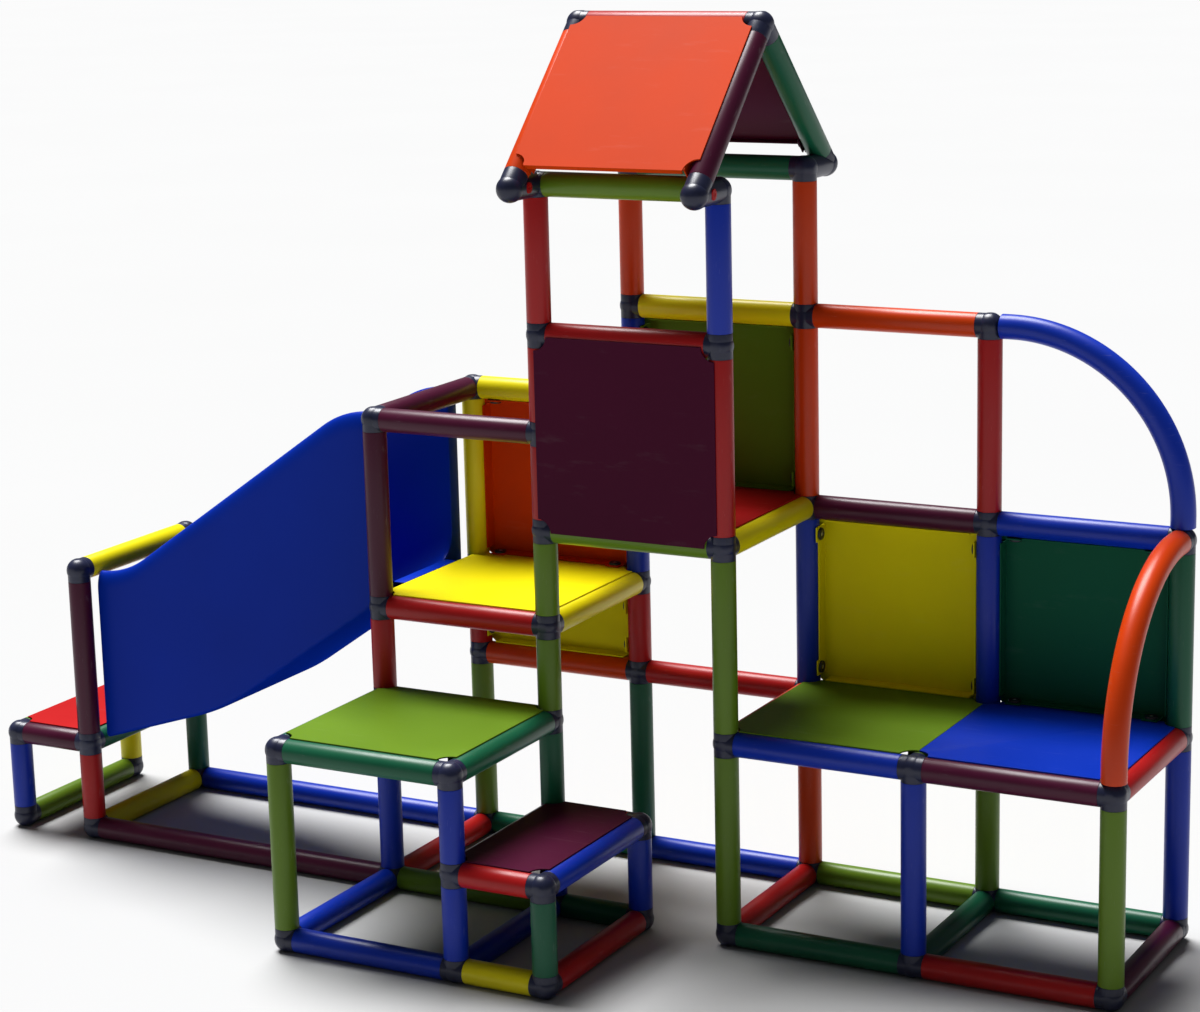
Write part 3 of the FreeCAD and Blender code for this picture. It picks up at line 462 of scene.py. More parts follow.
def solids_of(node: str) -> list[Solid]:
    """Split a node into its separate solids.

    Args:
        node: The node's name.

    Returns:
        One entry to a solid, in the order of their places.
    """
    copy = bmesh.new()
    copy.from_mesh(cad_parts[node].data)
    bmesh.ops.remove_doubles(copy, verts=copy.verts, dist=2e-6)
    found: list[Solid] = []
    seen: set[BMVert] = set()
    for first in copy.verts:
        if first in seen:
            continue
        seen.add(first)
        waiting, points = [first], []
        while waiting:
            vert = waiting.pop()
            points.append(tuple(vert.co))
            for edge in vert.link_edges:
                other = edge.other_vert(vert)
                if other not in seen:
                    seen.add(other)
                    waiting.append(other)
        found.append(Solid(np.array(points)))
    copy.free()
    return sorted(found, key=lambda solid: tuple(round(value, 3) for value in solid.middle))


def facing(way: Vector, place: Vector) -> Matrix:
    """The matrix that turns +Z to a direction and moves the origin to a place."""
    return Matrix.Translation(place) @ Z_WAY.rotation_difference(way).to_matrix().to_4x4()


# ---- meshes ----


def turned(outline: Outline, segments: int, closed: bool) -> BMesh:
    """Turn an outline about the Z axis.

    Args:
        outline: Radius and height of each corner.
        segments: Steps of the full turn.
        closed: Whether the outline is a ring, as on a pipe, or starts and ends on the axis.

    Returns:
        The turned mesh, with its faces outwards.
    """
    shape = bmesh.new()
    corners = [shape.verts.new((radius, 0.0, height)) for radius, height in outline]
    pairs = list(zip(corners, corners[1:]))
    if closed:
        pairs.append((corners[-1], corners[0]))
    edges = [shape.edges.new(pair) for pair in pairs]
    bmesh.ops.spin(shape, geom=corners + edges, cent=(0, 0, 0), axis=(0, 0, 1), dvec=(0, 0, 0),
                   angle=math.tau, steps=segments, use_merge=True, use_duplicate=False)
    bmesh.ops.remove_doubles(shape, verts=shape.verts, dist=1e-6)
    bmesh.ops.recalc_face_normals(shape, faces=shape.faces)
    return shape


def round_corner(centre: tuple[float, float], reach: tuple[float, float], start: float, end: float,
                 steps: int) -> Outline:
    """Points of a quarter round.

    Args:
        centre: Its middle.
        reach: Its radius along each axis.
        start: The first angle in degrees.
        end: The last angle in degrees.
        steps: How many parts it has.

    Returns:
        The points, with both ends.
    """
    points = []
    for step in range(steps + 1):
        angle = math.radians(start + (end - start) * step / steps)
        points.append((centre[0] + reach[0] * math.cos(angle), centre[1] + reach[1] * math.sin(angle)))
    return points


def edges_in(made: Iterable[Any]) -> list[BMEdge]:
    """The edges among what an operator made."""
    return [item for item in made if isinstance(item, BMEdge)]


def extruded(shape: BMesh, rim: list[BMEdge]) -> tuple[list[BMVert], list[BMEdge]]:
    """Extrude a rim, with the new one still in the old one's place.

    Args:
        shape: The mesh.
        rim: The rim's edges.

    Returns:
        The corners and the edges of the new rim.
    """
    made = bmesh.ops.extrude_edge_only(shape, edges=rim)["geom"]
    verts = [item for item in made if isinstance(item, BMVert)]
    return verts, [edge for edge in edges_in(made) if edge.verts[0] in verts and edge.verts[1] in verts]


def ease_edges(shape: BMesh, edges: list[BMEdge], width: float, segments: int,
               clamped: bool = False) -> list[BMFace]:
    """Round edges off.

    Args:
        shape: The mesh.
        edges: The edges.
        width: How far the rounding reaches.
        segments: How many facets it has.
        clamped: Whether roundings that would overlap are kept apart.

    Returns:
        The new faces.
    """
    return bmesh.ops.bevel(shape, geom=edges, offset=width, affect="EDGES", segments=segments, profile=0.5,
                           material=-1, clamp_overlap=clamped)["faces"]


class Stamp:
    """A small mesh that is made once along +Z and set down in many places."""

    def __init__(self, name: str, shape: BMesh) -> None:
        """Keep the mesh, with its own coordinates as the attribute "lay".

        Args:
            name: What it is.
            shape: The mesh, which is freed.
        """
        lay = shape.verts.layers.float_vector.new("lay")
        shape.verts.layers.float.new("tone")
        for vert in shape.verts:
            vert[lay] = vert.co
        self.mesh = bpy.data.meshes.new("stamp_" + name)
        shape.to_mesh(self.mesh)
        shape.free()

    def set_down(self, target: BMesh, place: Matrix, tone: float) -> None:
        """Add a copy to a mesh.

        Args:
            target: The mesh that it joins.
            place: Where it goes.
            tone: A number from 0 to 1 that tells its copies apart.
        """
        before = len(target.verts)
        target.from_mesh(self.mesh)
        target.verts.ensure_lookup_table()
        fresh = target.verts[before:]
        bmesh.ops.transform(target, matrix=place, verts=fresh)
        layer = target.verts.layers.float["tone"]
        for vert in fresh:
            vert[layer] = tone


def tone_of(place: Vector) -> float:
    """A number from 0 to 1 that depends on a place alone."""
    return math.modf(abs(math.sin(place.x * 91.7 + place.y * 47.3 + place.z * 29.9)) * 437.58)[0]


def fresh_target() -> BMesh:
    """An empty mesh with the stamps' attributes."""
    target = bmesh.new()
    target.verts.layers.float_vector.new("lay")
    target.verts.layers.float.new("tone")
    return target


def put_in_scene(node: str, shape: BMesh, finish: bpy.types.Material,
                 shading: Shading = Shading.TURNED) -> None:
    """Make a finished piece of a mesh, and let it stand for its node.

    Args:
        node: The node.
        shape: The mesh, which is freed.
        finish: Its material.
        shading: How round its edges look. A turned piece is smooth all over.
    """
    for face in shape.faces:
        face.smooth = face.smooth or shading is Shading.TURNED
    limit = math.radians(shading.value)
    for edge in shape.edges:
        edge.smooth = len(edge.link_faces) == 2 and edge.calc_face_angle(0.0) < limit
    name = node + "_finished"
    mesh = bpy.data.meshes.new(name)
    shape.to_mesh(mesh)
    shape.free()
    mesh.materials.append(finish)
    piece = bpy.data.objects.new(name, mesh)
    bpy.context.scene.collection.objects.link(piece)
    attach(piece, BODY)
    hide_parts(node)
    LOG.info("%s: %d faces", name, len(mesh.polygons))


# ---- sub-assemblies ----


@dataclass
class Tubes:
    """The straight tubes, in nodes of one length and colour."""

    radius: float = 0.025
    wall: float = 0.003
    ease: float = 0.0009
    segments: int = 44
    stamps: dict[int, Stamp] = field(default_factory=dict)

    def outline(self, half: float) -> Outline:
        """The pipe's wall, with eased outer rims.

        Args:
            half: Half of the tube's length.

        Returns:
            A ring of corners.
        """
        bore = self.radius - self.wall
        rim = self.radius - self.ease
        top = round_corner((rim, half - self.ease), (self.ease, self.ease), 0.0, 90.0, 3)
        bottom = round_corner((rim, self.ease - half), (self.ease, self.ease), -90.0, 0.0, 3)
        return [(bore, -half)] + bottom + top + [(bore, half)]

    def stamp_of(self, length: float) -> Stamp:
        """The tube of one length, made when it is first asked for."""
        key = round(length * 1000.0)
        if key not in self.stamps:
            self.stamps[key] = Stamp("tube_%d" % key, turned(self.outline(length / 2.0), self.segments, True))
        return self.stamps[key]

    def way_of(self, solid: Solid, ridge: Vector) -> Vector:
        """The direction of a tube.

        Args:
            solid: The tube's solid.
            ridge: The middle of the roof's ridge.

        Returns:
            An axis, or the way up a slope of the roof.
        """
        sides = sorted(zip(solid.size, (X_WAY, Y_WAY, Z_WAY)), key=lambda side: side[0])
        if sides[2][0] > sides[1][0] + self.radius:
            return sides[2][1]
        inwards = 1.0 if solid.middle.y < ridge.y else -1.0
        return Vector((0.0, inwards, 1.0)).normalized()

    def build(self, nodes: Iterable[str], ridge: Vector) -> None:
        """Build every tube node.

        Args:
            nodes: The tubes' nodes.
            ridge: The middle of the roof's ridge.
        """
        for node in nodes:
            target = fresh_target()
            for solid in solids_of(node):
                way = self.way_of(solid, ridge)
                low, high = solid.along(way)
                self.stamp_of(high - low).set_down(target, facing(way, solid.middle), tone_of(solid.middle))
            put_in_scene(node, target, plastic(TubePlastic, Hue.of_node(node)))


@dataclass
class Arcs:
    """The two quarter-circle tubes."""

    tubes: Tubes
    straight: float = 0.020
    bend: float = 0.355
    bend_steps: int = 40

    def pipe(self, shape: BMesh, radius: float) -> tuple[list[BMEdge], list[BMEdge]]:
        """Draw one wall of the pipe along the path: straight, quarter circle, straight.

        Args:
            shape: The mesh that it joins.
            radius: The wall's radius.

        Returns:
            The edges of its first and of its last rim.
        """
        ring = bmesh.ops.create_circle(shape, cap_ends=False, segments=self.tubes.segments, radius=radius)
        first = list({edge for vert in ring["verts"] for edge in vert.link_edges})
        grown = self.run_on(shape, first, Vector((0.0, 0.0, self.straight)))
        verts = list({vert for edge in grown for vert in edge.verts})
        centre = (self.bend, 0.0, self.straight)
        spun = bmesh.ops.spin(shape, geom=verts + grown, cent=centre, axis=(0, 1, 0), dvec=(0, 0, 0),
                              angle=math.pi / 2.0, steps=self.bend_steps, use_merge=False,
                              use_duplicate=False)
        return first, self.run_on(shape, edges_in(spun["geom_last"]), Vector((self.straight, 0.0, 0.0)))

    def run_on(self, shape: BMesh, rim: list[BMEdge], step: Vector) -> list[BMEdge]:
        """Extrude a rim by a step, and give the new rim's edges."""
        verts, edges = extruded(shape, rim)
        bmesh.ops.translate(shape, verts=verts, vec=step)
        return edges

    def shape(self) -> BMesh:
        """The bent pipe, leaving along +Z and arriving along +X."""
        shape = bmesh.new()
        outer = self.pipe(shape, self.tubes.radius)
        inner = self.pipe(shape, self.tubes.radius - self.tubes.wall)
        for one, other in zip(outer, inner):
            bmesh.ops.bridge_loops(shape, edges=one + other)
        bmesh.ops.recalc_face_normals(shape, faces=shape.faces)
        ease_edges(shape, outer[0] + outer[1], self.tubes.ease, 3)
        return shape

    def build(self) -> None:
        """Build both arcs in their places."""
        low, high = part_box("arc_tube_blue")
        start = Vector((low[0], (low[1] + high[1]) / 2.0, high[2] - self.tubes.radius))
        self.lay_down("arc_tube_blue", start, X_WAY)
        low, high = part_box("arc_tube_orange")
        start = Vector(((low[0] + high[0]) / 2.0, high[1], high[2] - self.tubes.radius))
        self.lay_down("arc_tube_orange", start, -Y_WAY)

    def lay_down(self, node: str, start: Vector, leaving: Vector) -> None:
        """Turn an arc into place: it leaves a connector level and arrives downwards.

        Args:
            node: The arc's node.
            start: The middle of its first rim.
            leaving: The way that it leaves.
        """
        arriving = -Z_WAY
        turn = Matrix((arriving, leaving.cross(arriving), leaving)).transposed().to_4x4()
        target = fresh_target()
        Stamp(node, self.shape()).set_down(target, Matrix.Translation(start) @ turn, tone_of(start))
        put_in_scene(node, target, plastic(TubePlastic, Hue.of_node(node)))


@dataclass
class Connectors:
    """The push-in connectors: a ball with flats, and an arm to each tube."""

    corner: Vector
    ridge: Vector
    finish: bpy.types.Material
    radius: float = 0.025
    ball: float = 0.027
    flat: float = 0.0253
    collar: float = 0.025
    slope_collar: float = 0.0371
    spigot: float = 0.0218
    spigot_wall: float = 0.0033
    spigot_length: float = 0.045
    ease: float = 0.0007
    past_ball: float = 0.045
    step: float = 0.2
    overhang: float = 0.1
    segments: int = 40

    def arm(self, collar: float) -> BMesh:
        """An arm along +Z: a collar with an eased rim, then a hollow spigot.

        Args:
            collar: The collar's length.

        Returns:
            The mesh.
        """
        tip = collar + self.spigot_length
        bore = self.spigot - self.spigot_wall
        rim_middle = (self.radius - self.ease, collar - self.ease)
        rim = round_corner(rim_middle, (self.ease, self.ease), 0.0, 90.0, 3)
        outline = [(0.0, 0.0), (self.radius, 0.0)] + rim
        outline += [(self.spigot, collar), (self.spigot, tip - 0.001), (self.spigot - 0.001, tip)]
        outline += [(bore, tip), (bore, collar - 0.005), (0.0, collar - 0.005)]
        return turned(outline, self.segments, False)

    def core(self, flats: bool) -> BMesh:
        """The ball in the middle.

        Args:
            flats: Whether it has six flats.

        Returns:
            The mesh.
        """
        shape = bmesh.new()
        bmesh.ops.create_uvsphere(shape, u_segments=self.segments, v_segments=24, radius=self.ball)
        ways = (X_WAY, -X_WAY, Y_WAY, -Y_WAY, Z_WAY, -Z_WAY) if flats else ()
        for way in ways:
            everything = shape.verts[:] + shape.edges[:] + shape.faces[:]
            cut = bmesh.ops.bisect_plane(shape, geom=everything, plane_co=way * self.flat, plane_no=way,
                                         clear_outer=True)
            bmesh.ops.edgeloop_fill(shape, edges=edges_in(cut["geom_cut"]))
        bmesh.ops.recalc_face_normals(shape, faces=shape.faces)
        return shape

    def link(self) -> BMesh:
        """The bar between a post's top and an eave end, along +Z."""
        return turned([(0.0, 0.0), (self.radius, 0.0), (self.radius, self.overhang), (0.0, self.overhang)],
                      self.segments, False)

    def __post_init__(self) -> None:
        """Make the parts that connectors are put together from."""
        self.arm_stamp = Stamp("arm", self.arm(self.collar))
        self.slope_stamp = Stamp("slope_arm", self.arm(self.slope_collar))
        self.core_stamp = Stamp("core", self.core(True))
        self.ball_stamp = Stamp("ball", self.core(False))
        self.link_stamp = Stamp("link", self.link())

    def centre_of(self, solid: Solid) -> Vector:
        """The grid place that is nearest to a connector's middle."""
        steps = (solid.middle - self.corner) / self.step
        return self.corner + Vector(round(value) for value in steps) * self.step

    def arms_of(self, solid: Solid, centre: Vector) -> list[Vector]:
        """The directions in which a solid reaches past its ball."""
        ways = []
        for axis, way in enumerate((X_WAY, Y_WAY, Z_WAY)):
            if solid.high[axis] - centre[axis] > self.past_ball:
                ways.append(way)
            if centre[axis] - solid.low[axis] > self.past_ball:
                ways.append(-way)
        return ways

    def put_together(self, target: BMesh, centre: Vector, ways: Iterable[Vector]) -> None:
        """Set down a ball with its arms.

        Args:
            target: The mesh that they join.
            centre: The connector's middle.
            ways: Its arms' directions.
        """
        tone = tone_of(centre)
        self.core_stamp.set_down(target, Matrix.Translation(centre), tone)
        for way in ways:
            self.arm_stamp.set_down(target, facing(way, centre), tone)

    def build_grid(self, nodes: Iterable[str]) -> None:
        """Build the connectors that sit on the grid.

        Args:
            nodes: Their nodes.
        """
        for node in nodes:
            target = fresh_target()
            for solid in solids_of(node):
                centre = self.centre_of(solid)
                self.put_together(target, centre, self.arms_of(solid, centre))
            put_in_scene(node, target, self.finish)

    def build_eaves(self, node: str, outwards: Vector) -> None:
        """Build the connectors at the eaves, each with its link and its sloping arm.

        Args:
            node: Their node.
            outwards: The way out of the roof on their side.
        """
        target = fresh_target()
        slope = (Z_WAY - outwards).normalized()
        for solid in solids_of(node):
            left = solid.middle.x < self.ridge.x
            x = solid.low.x + self.ball if left else solid.high.x - self.ball
            edge = solid.low.y + self.ball if outwards.y < 0.0 else solid.high.y - self.ball
            end = Vector((x, edge, solid.low.z + self.collar + self.spigot_length))
            top = end - outwards * self.overhang
            self.put_together(target, top, [-Z_WAY, X_WAY if left else -X_WAY])
            self.link_stamp.set_down(target, facing(outwards, top), tone_of(top))
            self.ball_stamp.set_down(target, Matrix.Translation(end), tone_of(top))
            self.slope_stamp.set_down(target, facing(slope, end), tone_of(top))
        put_in_scene(node, target, self.finish)

    def build_apex(self, node: str) -> None:
        """Build the connectors at the ridge, each with two sloping arms.

        Args:
            node: Their node.
        """
        target = fresh_target()
        for solid in solids_of(node):
            left = solid.middle.x < self.ridge.x
            x = solid.low.x + self.flat if left else solid.high.x - self.flat
            centre = Vector((x, solid.middle.y, solid.high.z - self.flat))
            self.put_together(target, centre, [X_WAY if left else -X_WAY])
            for across in (Y_WAY, -Y_WAY):
                self.slope_stamp.set_down(target, facing((across - Z_WAY).normalized(), centre),
                                          tone_of(centre))
        put_in_scene(node, target, self.finish)


@dataclass
class Panels:
    """The decks, walls and roof panels: the solids' own shapes with eased edges."""

    ease: float = 0.0006
    flat_angle: float = 1.0

    def eased(self, node: str) -> BMesh:
        """A merged copy of a node's mesh, with whole faces and eased edges.

        Args:
            node: The panel's node.

        Returns:
            The mesh.
        """
        shape = bmesh.new()
        shape.from_mesh(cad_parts[node].data)
        bmesh.ops.remove_doubles(shape, verts=shape.verts, dist=5e-6)
        bmesh.ops.dissolve_limit(shape, angle_limit=math.radians(self.flat_angle),
                                 use_dissolve_boundaries=False, verts=shape.verts, edges=shape.edges,
                                 delimit=set())
        sharp = [edge for edge in shape.edges
                 if len(edge.link_faces) == 2 and edge.calc_face_angle(0.0) > math.radians(60.0)
                 and edge.calc_length() > 4.0 * self.ease]
        for face in ease_edges(shape, sharp, self.ease, 2, True):
            face.smooth = True
        return shape

    def build(self, nodes: Iterable[str]) -> None:
        """Build every panel.

        Args:
            nodes: The panels' nodes.
        """
        for node in nodes:
            put_in_scene(node, self.eased(node), plastic(SheetPlastic, Hue.of_node(node)), Shading.MOULDED)


@dataclass
class BentLine:
    """A line in a side view, of straight runs joined by round bends."""

    corners: Outline
    reach: float

    def bends(self) -> list[tuple[float, float, float, float, float, float]]:
        """Each bend's first and last x, its centre, its radius and the side of the centre it lies on."""
        found = []
        for before, corner, after in zip(self.corners, self.corners[1:], self.corners[2:]):
            into = (Vector(corner) - Vector(before)).normalized()
            out_of = (Vector(after) - Vector(corner)).normalized()
            start = Vector(corner) - into * self.reach
            end = Vector(corner) + out_of * self.reach
            half = into.angle(out_of) / 2.0
            radius = self.reach / math.tan(half)
            centre = Vector(corner) + (out_of - into).normalized() * (radius / math.cos(half))
            found.append((start.x, end.x, centre.x, centre.y, radius, -1.0 if centre.y > corner[1] else 1.0))
        return found

    def height(self, x: float) -> float:
        """The line's height at a distance along it.

        Args:
            x: The distance.

        Returns:
            The height.
        """
        for first, last, centre_x, centre_z, radius, side in self.bends():
            if first <= x <= last:
                return centre_z + side * math.sqrt(max(radius ** 2 - (x - centre_x) ** 2, 0.0))
        for (x0, z0), (x1, z1) in zip(self.corners, self.corners[1:]):
            if x <= x1:
                return z0 + (z1 - z0) * (x - x0) / (x1 - x0)
        return self.corners[-1][1]

    def steepness(self, x: float) -> float:
        """How much longer an upright cut is than a square one, at a distance along the line."""
        rise = (self.height(x + 1e-4) - self.height(x - 1e-4)) / 2e-4
        return math.sqrt(1.0 + rise * rise)


@dataclass
class Slide:
    """The moulded slide: a bed between two walls with rounded rims, and a lip at each end."""

    node: str = "slide_blue"
    lip: float = 0.027
    lip_overlap: float = 0.002
    lip_thickness: float = 0.003
    lip_ease: float = 0.0007
    foot_lip: float = 0.2268
    head_lip: float = 0.6268
    wall: float = 0.036
    bed: float = 0.0278
    rim_round: float = 0.0175
    rim_drop: float = 0.042
    under_round: float = 0.013
    bed_round: float = 0.060
    slope: float = 34.4
    foot_slope: float = 17.7
    under_foot: float = 0.205
    under_head: float = 0.5946
    rim_foot: float = 0.592
    rim_head: float = 1.005
    rim_middle: tuple[float, float] = (0.262, 0.726)
    under_reach: float = 0.080
    rim_reach: float = 0.066
    stations: int = 84
    ease: float = 0.0016

    def __post_init__(self) -> None:
        """Read the slide's box."""
        self.low, self.high = (Vector(corner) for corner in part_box(self.node))

    def under_line(self, length: float) -> BentLine:
        """The underside's line over the slide's length."""
        foot_rise = math.tan(math.radians(self.foot_slope))
        rise = math.tan(math.radians(self.slope))
        bend = (self.under_head - self.under_foot - length * rise) / (foot_rise - rise)
        corner = (bend, self.under_foot + bend * foot_rise)
        return BentLine([(0.0, self.under_foot), corner, (length, self.under_head)], self.under_reach)

    def rim_line(self, length: float) -> BentLine:
        """The rims' line over the slide's length."""
        rise = math.tan(math.radians(self.slope))
        middle_x, middle_z = self.rim_middle
        foot = (middle_x - (middle_z - self.rim_foot) / rise, self.rim_foot)
        head = (middle_x + (self.rim_head - middle_z) / rise, self.rim_head)
        return BentLine([(0.0, self.rim_foot), foot, head, (length, self.rim_head)], self.rim_reach)

    def half_section(self, under: float, top: float, lean_under: float, lean_top: float,
                     half: float) -> Outline:
        """Half of an upright cut, from the middle of the underside round the wall to the middle of the bed.

        Args:
            under: The underside's height.
            top: The rim's height.
            lean_under: How much the underside's slope stretches the cut.
            lean_top: How much the rim's slope stretches it.
            half: Half of the slide's width.

        Returns:
            Points as distance from the outer face, and height.
        """
        bed = under + self.bed * lean_under
        low = self.under_round * lean_under
        rim = self.rim_drop * lean_top
        fillet = self.bed_round * lean_under
        inner = self.wall - self.rim_round
        points = [(half, under), (half * 0.5, under)]
        points += round_corner((self.under_round, under + low), (self.under_round, low), -90.0, -180.0, 5)
        points += [(0.0, under + (top - under) * part) for part in (0.3, 0.5, 0.7)]
        points += round_corner((self.rim_round, top - rim), (self.rim_round, rim), 180.0, 90.0, 8)
        points += round_corner((inner, top - rim), (self.rim_round, rim), 90.0, 0.0, 8)
        points += [(self.wall, bed + fillet + (top - rim - bed - fillet) * part) for part in (0.66, 0.33)]
        centre = (self.wall + self.bed_round, bed + fillet)
        points += round_corner(centre, (self.bed_round, fillet), 180.0, 270.0, 10)
        return points + [((half + centre[0]) / 2.0, bed), (half, bed)]

    def ring(self, x: float, length: float, width: float) -> Outline:
        """The whole upright cut at a distance along the slide.

        Args:
            x: The distance from the foot.
            length: The slide's length.
            width: The slide's width.

        Returns:
            Points as distance from the front face, and height.
        """
        under, rim = self.under_line(length), self.rim_line(length)
        near = self.half_section(under.height(x), rim.height(x), under.steepness(x), rim.steepness(x),
                                 width / 2.0)
        far = [(width - across, height) for across, height in reversed(near[1:-1])]
        return near + far

    def shell(self) -> BMesh:
        """Draw the cut along the slide, station by station, and give the closed body."""
        low, high = self.low, self.high
        foot, length, width = low.x + self.lip, high.x - low.x - 2.0 * self.lip, high.y - low.y
        base = low.z - self.under_foot
        shape = bmesh.new()
        worn = shape.verts.layers.float.new("worn")
        matt = shape.verts.layers.float.new("matt")
        verts = [shape.verts.new((foot, low.y + across, base + height))
                 for across, height in self.ring(0.0, length, width)]
        edges = [shape.edges.new(pair) for pair in zip(verts, verts[1:] + verts[:1])]
        first = list(edges)
        for station in range(1, self.stations + 1):
            x = length * station / self.stations
            fresh, edges = extruded(shape, edges)
            follows = {edge.other_vert(vert): vert for vert in fresh for edge in vert.link_edges
                       if edge.other_vert(vert) in verts}
            verts = [follows[vert] for vert in verts]
            for vert, (across, height) in zip(verts, self.ring(x, length, width)):
                vert.co = (foot + x, low.y + across, base + height)
        bmesh.ops.edgeloop_fill(shape, edges=first)
        bmesh.ops.edgeloop_fill(shape, edges=edges)
        bmesh.ops.recalc_face_normals(shape, faces=shape.faces)
        ease_edges(shape, first + edges, self.ease, 3)
        middle = (low.y + high.y) / 2.0
        bed_line = self.under_line(length)
        for vert in shape.verts:
            reach = 1.0 - min(abs(vert.co.y - middle) / (width / 2.0 - self.wall), 1.0)
            above = vert.co.z - base - bed_line.height(min(max(vert.co.x - foot, 0.0), length))
            vert[worn] = min(reach * 1.6, 1.0) if above > self.bed * 0.6 else 0.0
            vert[matt] = 1.0 if above < self.bed * 0.2 else 0.0
        return shape

    def lips(self, shape: BMesh) -> None:
        """Add the two thin lips that lie on the tubes.

        Args:
            shape: The mesh that they join.
        """
        low, high = self.low, self.high
        inset = self.wall + self.bed_round / 2.0
        middle_y = (low.y + high.y) / 2.0
        base = low.z - self.under_foot
        size = (self.lip + self.lip_overlap, high.y - low.y - 2.0 * inset, self.lip_thickness)
        foot = Vector((low.x + size[0] / 2.0, middle_y, base + self.foot_lip))
        head = Vector((high.x - size[0] / 2.0, middle_y, base + self.head_lip))
        for place in (foot, head):
            matrix = Matrix.Translation(place) @ Matrix.Diagonal((*size, 1.0))
            made = bmesh.ops.create_cube(shape, size=1.0, matrix=matrix)["verts"]
            edges = list({edge for vert in made for edge in vert.link_edges})
            ease_edges(shape, edges, self.lip_ease, 2)

    def build(self) -> None:
        """Build the slide in its place."""
        shape = self.shell()
        self.lips(shape)
        put_in_scene(self.node, shape, SlidePlastic(Hue.BLUE).build())


@dataclass
class Fasteners:
    """The tube screws, the panel screws with their cap washers, and the eave plugs."""

    length: float = 0.0112
    head: float = 0.0045
    head_height: float = 0.0013
    shank: float = 0.002
    panel_length: float = 0.0185
    panel_head: float = 0.0048
    panel_head_height: float = 0.0016
    panel_shank: float = 0.0025
    washer: float = 0.013
    washer_height: float = 0.005
    washer_recess: float = 0.0019
    plug: float = 0.01095
    plug_height: float = 0.0086

    def screw(self, head: float, height: float, shank: float, length: float, segments: int) -> BMesh:
        """A screw along +Z with a domed head and a small driver hollow.

        Args:
            head: The head's radius.
            height: The head's height.
            shank: The shank's radius.
            length: The whole length.
            segments: Steps of the full turn.

        Returns:
            The mesh, with the top of its head at the origin.
        """
        outline = [(0.0, -length), (shank, -length), (shank, -height), (head, -height),
                   (head, -height * 0.45), (head * 0.72, -height * 0.06), (head * 0.38, 0.0),
                   (head * 0.30, -height * 0.7), (0.0, -height * 0.7)]
        return turned(outline, segments, False)

    def cap(self) -> BMesh:
        """A cap washer along +Z with its top at the origin."""
        recess, hole = self.panel_head + 0.0002, self.panel_shank
        outline = [(hole, -self.washer_height), (self.washer, -self.washer_height), (self.washer, -0.0015),
                   (self.washer - 0.0005, -0.0005), (self.washer - 0.0015, 0.0), (recess + 0.0004, 0.0),
                   (recess, -0.0004), (recess, -self.washer_recess), (hole, -self.washer_recess)]
        return turned(outline, 16, True)

    def plug_disc(self) -> BMesh:
        """A plug along +Z with its top at the origin."""
        outline = [(0.0, -self.plug_height), (self.plug, -self.plug_height), (self.plug, -0.0006),
                   (self.plug - 0.0003, -0.0002), (self.plug - 0.0009, 0.0), (self.plug * 0.45, 0.0),
                   (self.plug * 0.38, -0.0006), (0.0, -0.0006)]
        return turned(outline, 32, False)

    def scatter(self, node: str, stamp: Stamp, longest: bool, finish: bpy.types.Material) -> None:
        """Set a stamp down on each solid of a node, with its top at the solid's outer end.

        Args:
            node: The node.
            stamp: What to set down.
            longest: Whether the solids' axis is their longest direction.
            finish: The material.
        """
        target = fresh_target()
        for solid in solids_of(node):
            way = solid.turned_axis(longest)
            low, high = solid.along(way)
            centre = solid.middle
            top = centre + way * (high - centre.dot(way))
            stamp.set_down(target, facing(way, top), tone_of(centre))
        put_in_scene(node, target, finish)

    def build(self) -> None:
        """Build every fastener and plug."""
        steel = ScrewSteel().build()
        small = Stamp("tube_screw", self.screw(self.head, self.head_height, self.shank, self.length, 8))
        self.scatter("tube_screws", small, True, steel)
        large = self.screw(self.panel_head, self.panel_head_height, self.panel_shank, self.panel_length, 10)
        self.scatter("panel_screws", Stamp("panel_screw", large), True, steel)
        self.scatter("panel_washers", Stamp("cap_washer", self.cap()), False, WasherPlastic().build())
        red = SheetPlastic(Hue.RED, 0.35).build()
        self.scatter("eave_plugs_red", Stamp("plug", self.plug_disc()), False, red)


# ---- studio ----


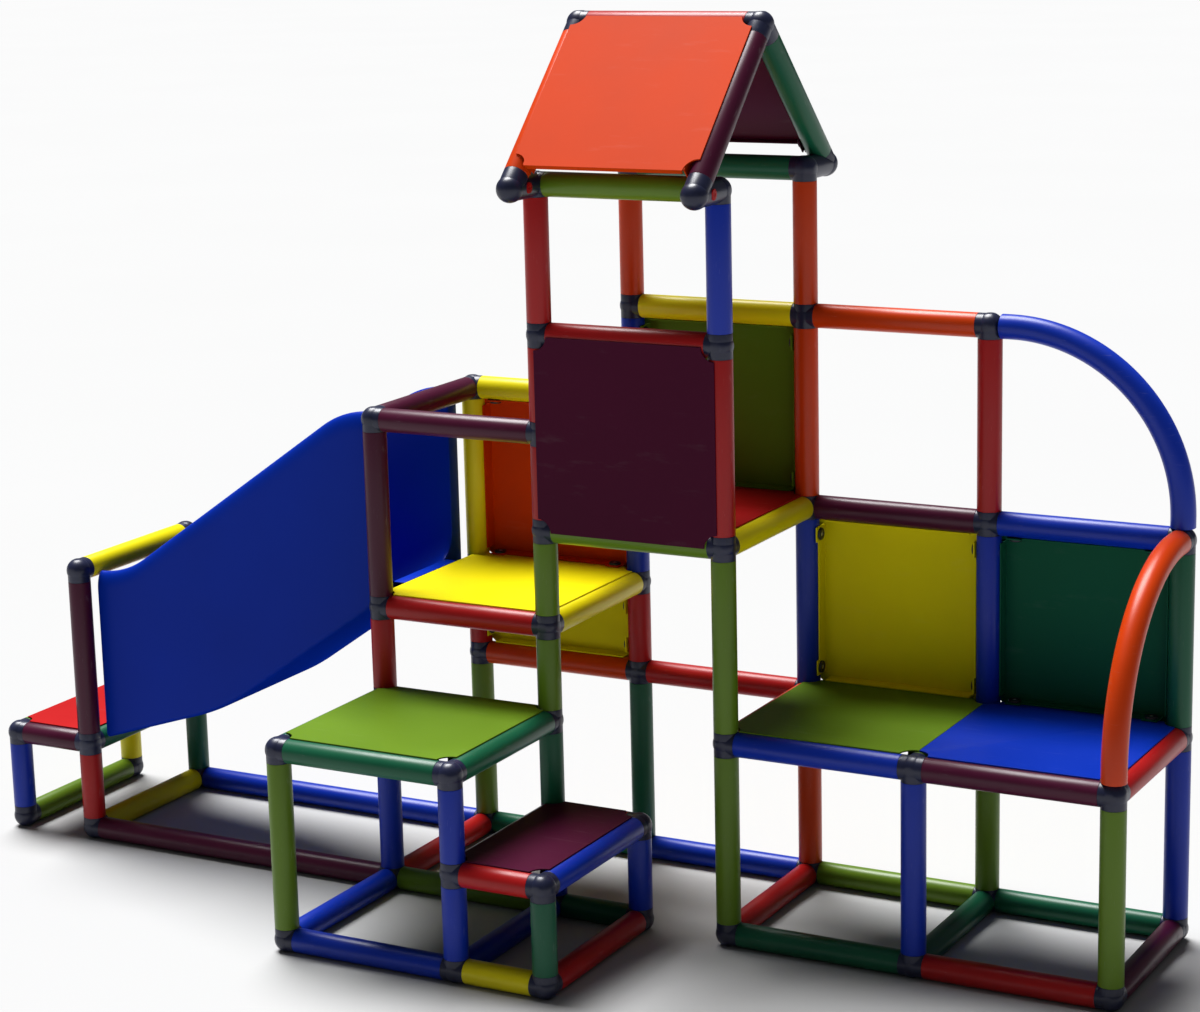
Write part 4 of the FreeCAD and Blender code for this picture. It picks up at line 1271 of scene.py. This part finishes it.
@dataclass
class Studio:
    """The floor, the lights and the camera."""

    floor_size: float = 160.0
    key_strength: float = 7.2
    key_angle: float = 34.0
    key_from: Numbers = (-0.32, 0.24, 0.92)
    fill_strength: float = 0.10
    camera_place: Numbers = (2.92858, -5.00509, 2.15583)
    camera_turn: Numbers = (77.3089, 1.3846, 28.2851)
    camera_lens: float = 86.9

    def lay_floor(self) -> None:
        """Lay the floor, flat at height zero."""
        shape = bmesh.new()
        bmesh.ops.create_grid(shape, x_segments=1, y_segments=1, size=self.floor_size / 2.0)
        mesh = bpy.data.meshes.new("floor")
        shape.to_mesh(mesh)
        shape.free()
        mesh.materials.append(FloorFinish().build())
        floor = bpy.data.objects.new("floor", mesh)
        bpy.context.scene.collection.objects.link(floor)
        floor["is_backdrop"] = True

    def light(self) -> None:
        """Hang a broad key light above, and fill from all round."""
        lamp = bpy.data.lights.new("key", "SUN")
        lamp.energy = self.key_strength
        lamp.angle = math.radians(self.key_angle)
        key = bpy.data.objects.new("key", lamp)
        key.rotation_euler = Z_WAY.rotation_difference(Vector(self.key_from).normalized()).to_euler()
        bpy.context.scene.collection.objects.link(key)
        world = bpy.data.worlds.new("studio")
        world.use_nodes = True
        background = world.node_tree.nodes["Background"]
        background.inputs["Color"].default_value = (0.95, 0.97, 1.0, 1.0)
        background.inputs["Strength"].default_value = self.fill_strength
        bpy.context.scene.world = world

    def set_camera(self) -> None:
        """Set the camera at its viewing angle."""
        lens = bpy.data.cameras.new("camera")
        lens.lens = self.camera_lens
        lens.sensor_width = 36.0
        lens.sensor_fit = "HORIZONTAL"
        lens.clip_end = 500.0
        camera = bpy.data.objects.new("camera", lens)
        camera.location = self.camera_place
        camera.rotation_euler = Euler([math.radians(turn) for turn in self.camera_turn], "XYZ")
        bpy.context.scene.collection.objects.link(camera)
        bpy.context.scene.camera = camera

    def build(self) -> None:
        """Set up the whole studio."""
        self.lay_floor()
        self.light()
        self.set_camera()
        bpy.context.scene.view_settings.view_transform = "Standard"


def plain(corners: Sequence[Iterable[float]]) -> list[list[float]]:
    """A box as plain lists of numbers."""
    return [[float(value) for value in corner] for corner in corners]


def main() -> None:
    """Build every sub-assembly, then the studio."""
    logging.basicConfig(level=logging.INFO, format="%(message)s")
    cad_box = plain(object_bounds())
    nodes = sorted(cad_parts)
    corner = Vector(cad_box[0]) + Vector([Connectors.flat] * 3)
    low, high = (Vector(end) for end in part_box("connector_apex"))
    ridge = (low + high) / 2.0

    tubes = Tubes()
    tubes.build([node for node in nodes if node.startswith("tube_") and node != "tube_screws"], ridge)
    Arcs(tubes).build()
    connectors = Connectors(corner, ridge, ConnectorPlastic().build())
    connectors.build_grid([node for node in nodes if node.endswith("_way")])
    connectors.build_eaves("connector_eave_front", -Y_WAY)
    connectors.build_eaves("connector_eave_back", Y_WAY)
    connectors.build_apex("connector_apex")
    Panels().build([node for node in nodes if node.startswith(("deck_", "wall_", "roof_"))])
    Slide().build()
    Fasteners().build()
    Studio().build()


if __name__ == "__main__":
    main()
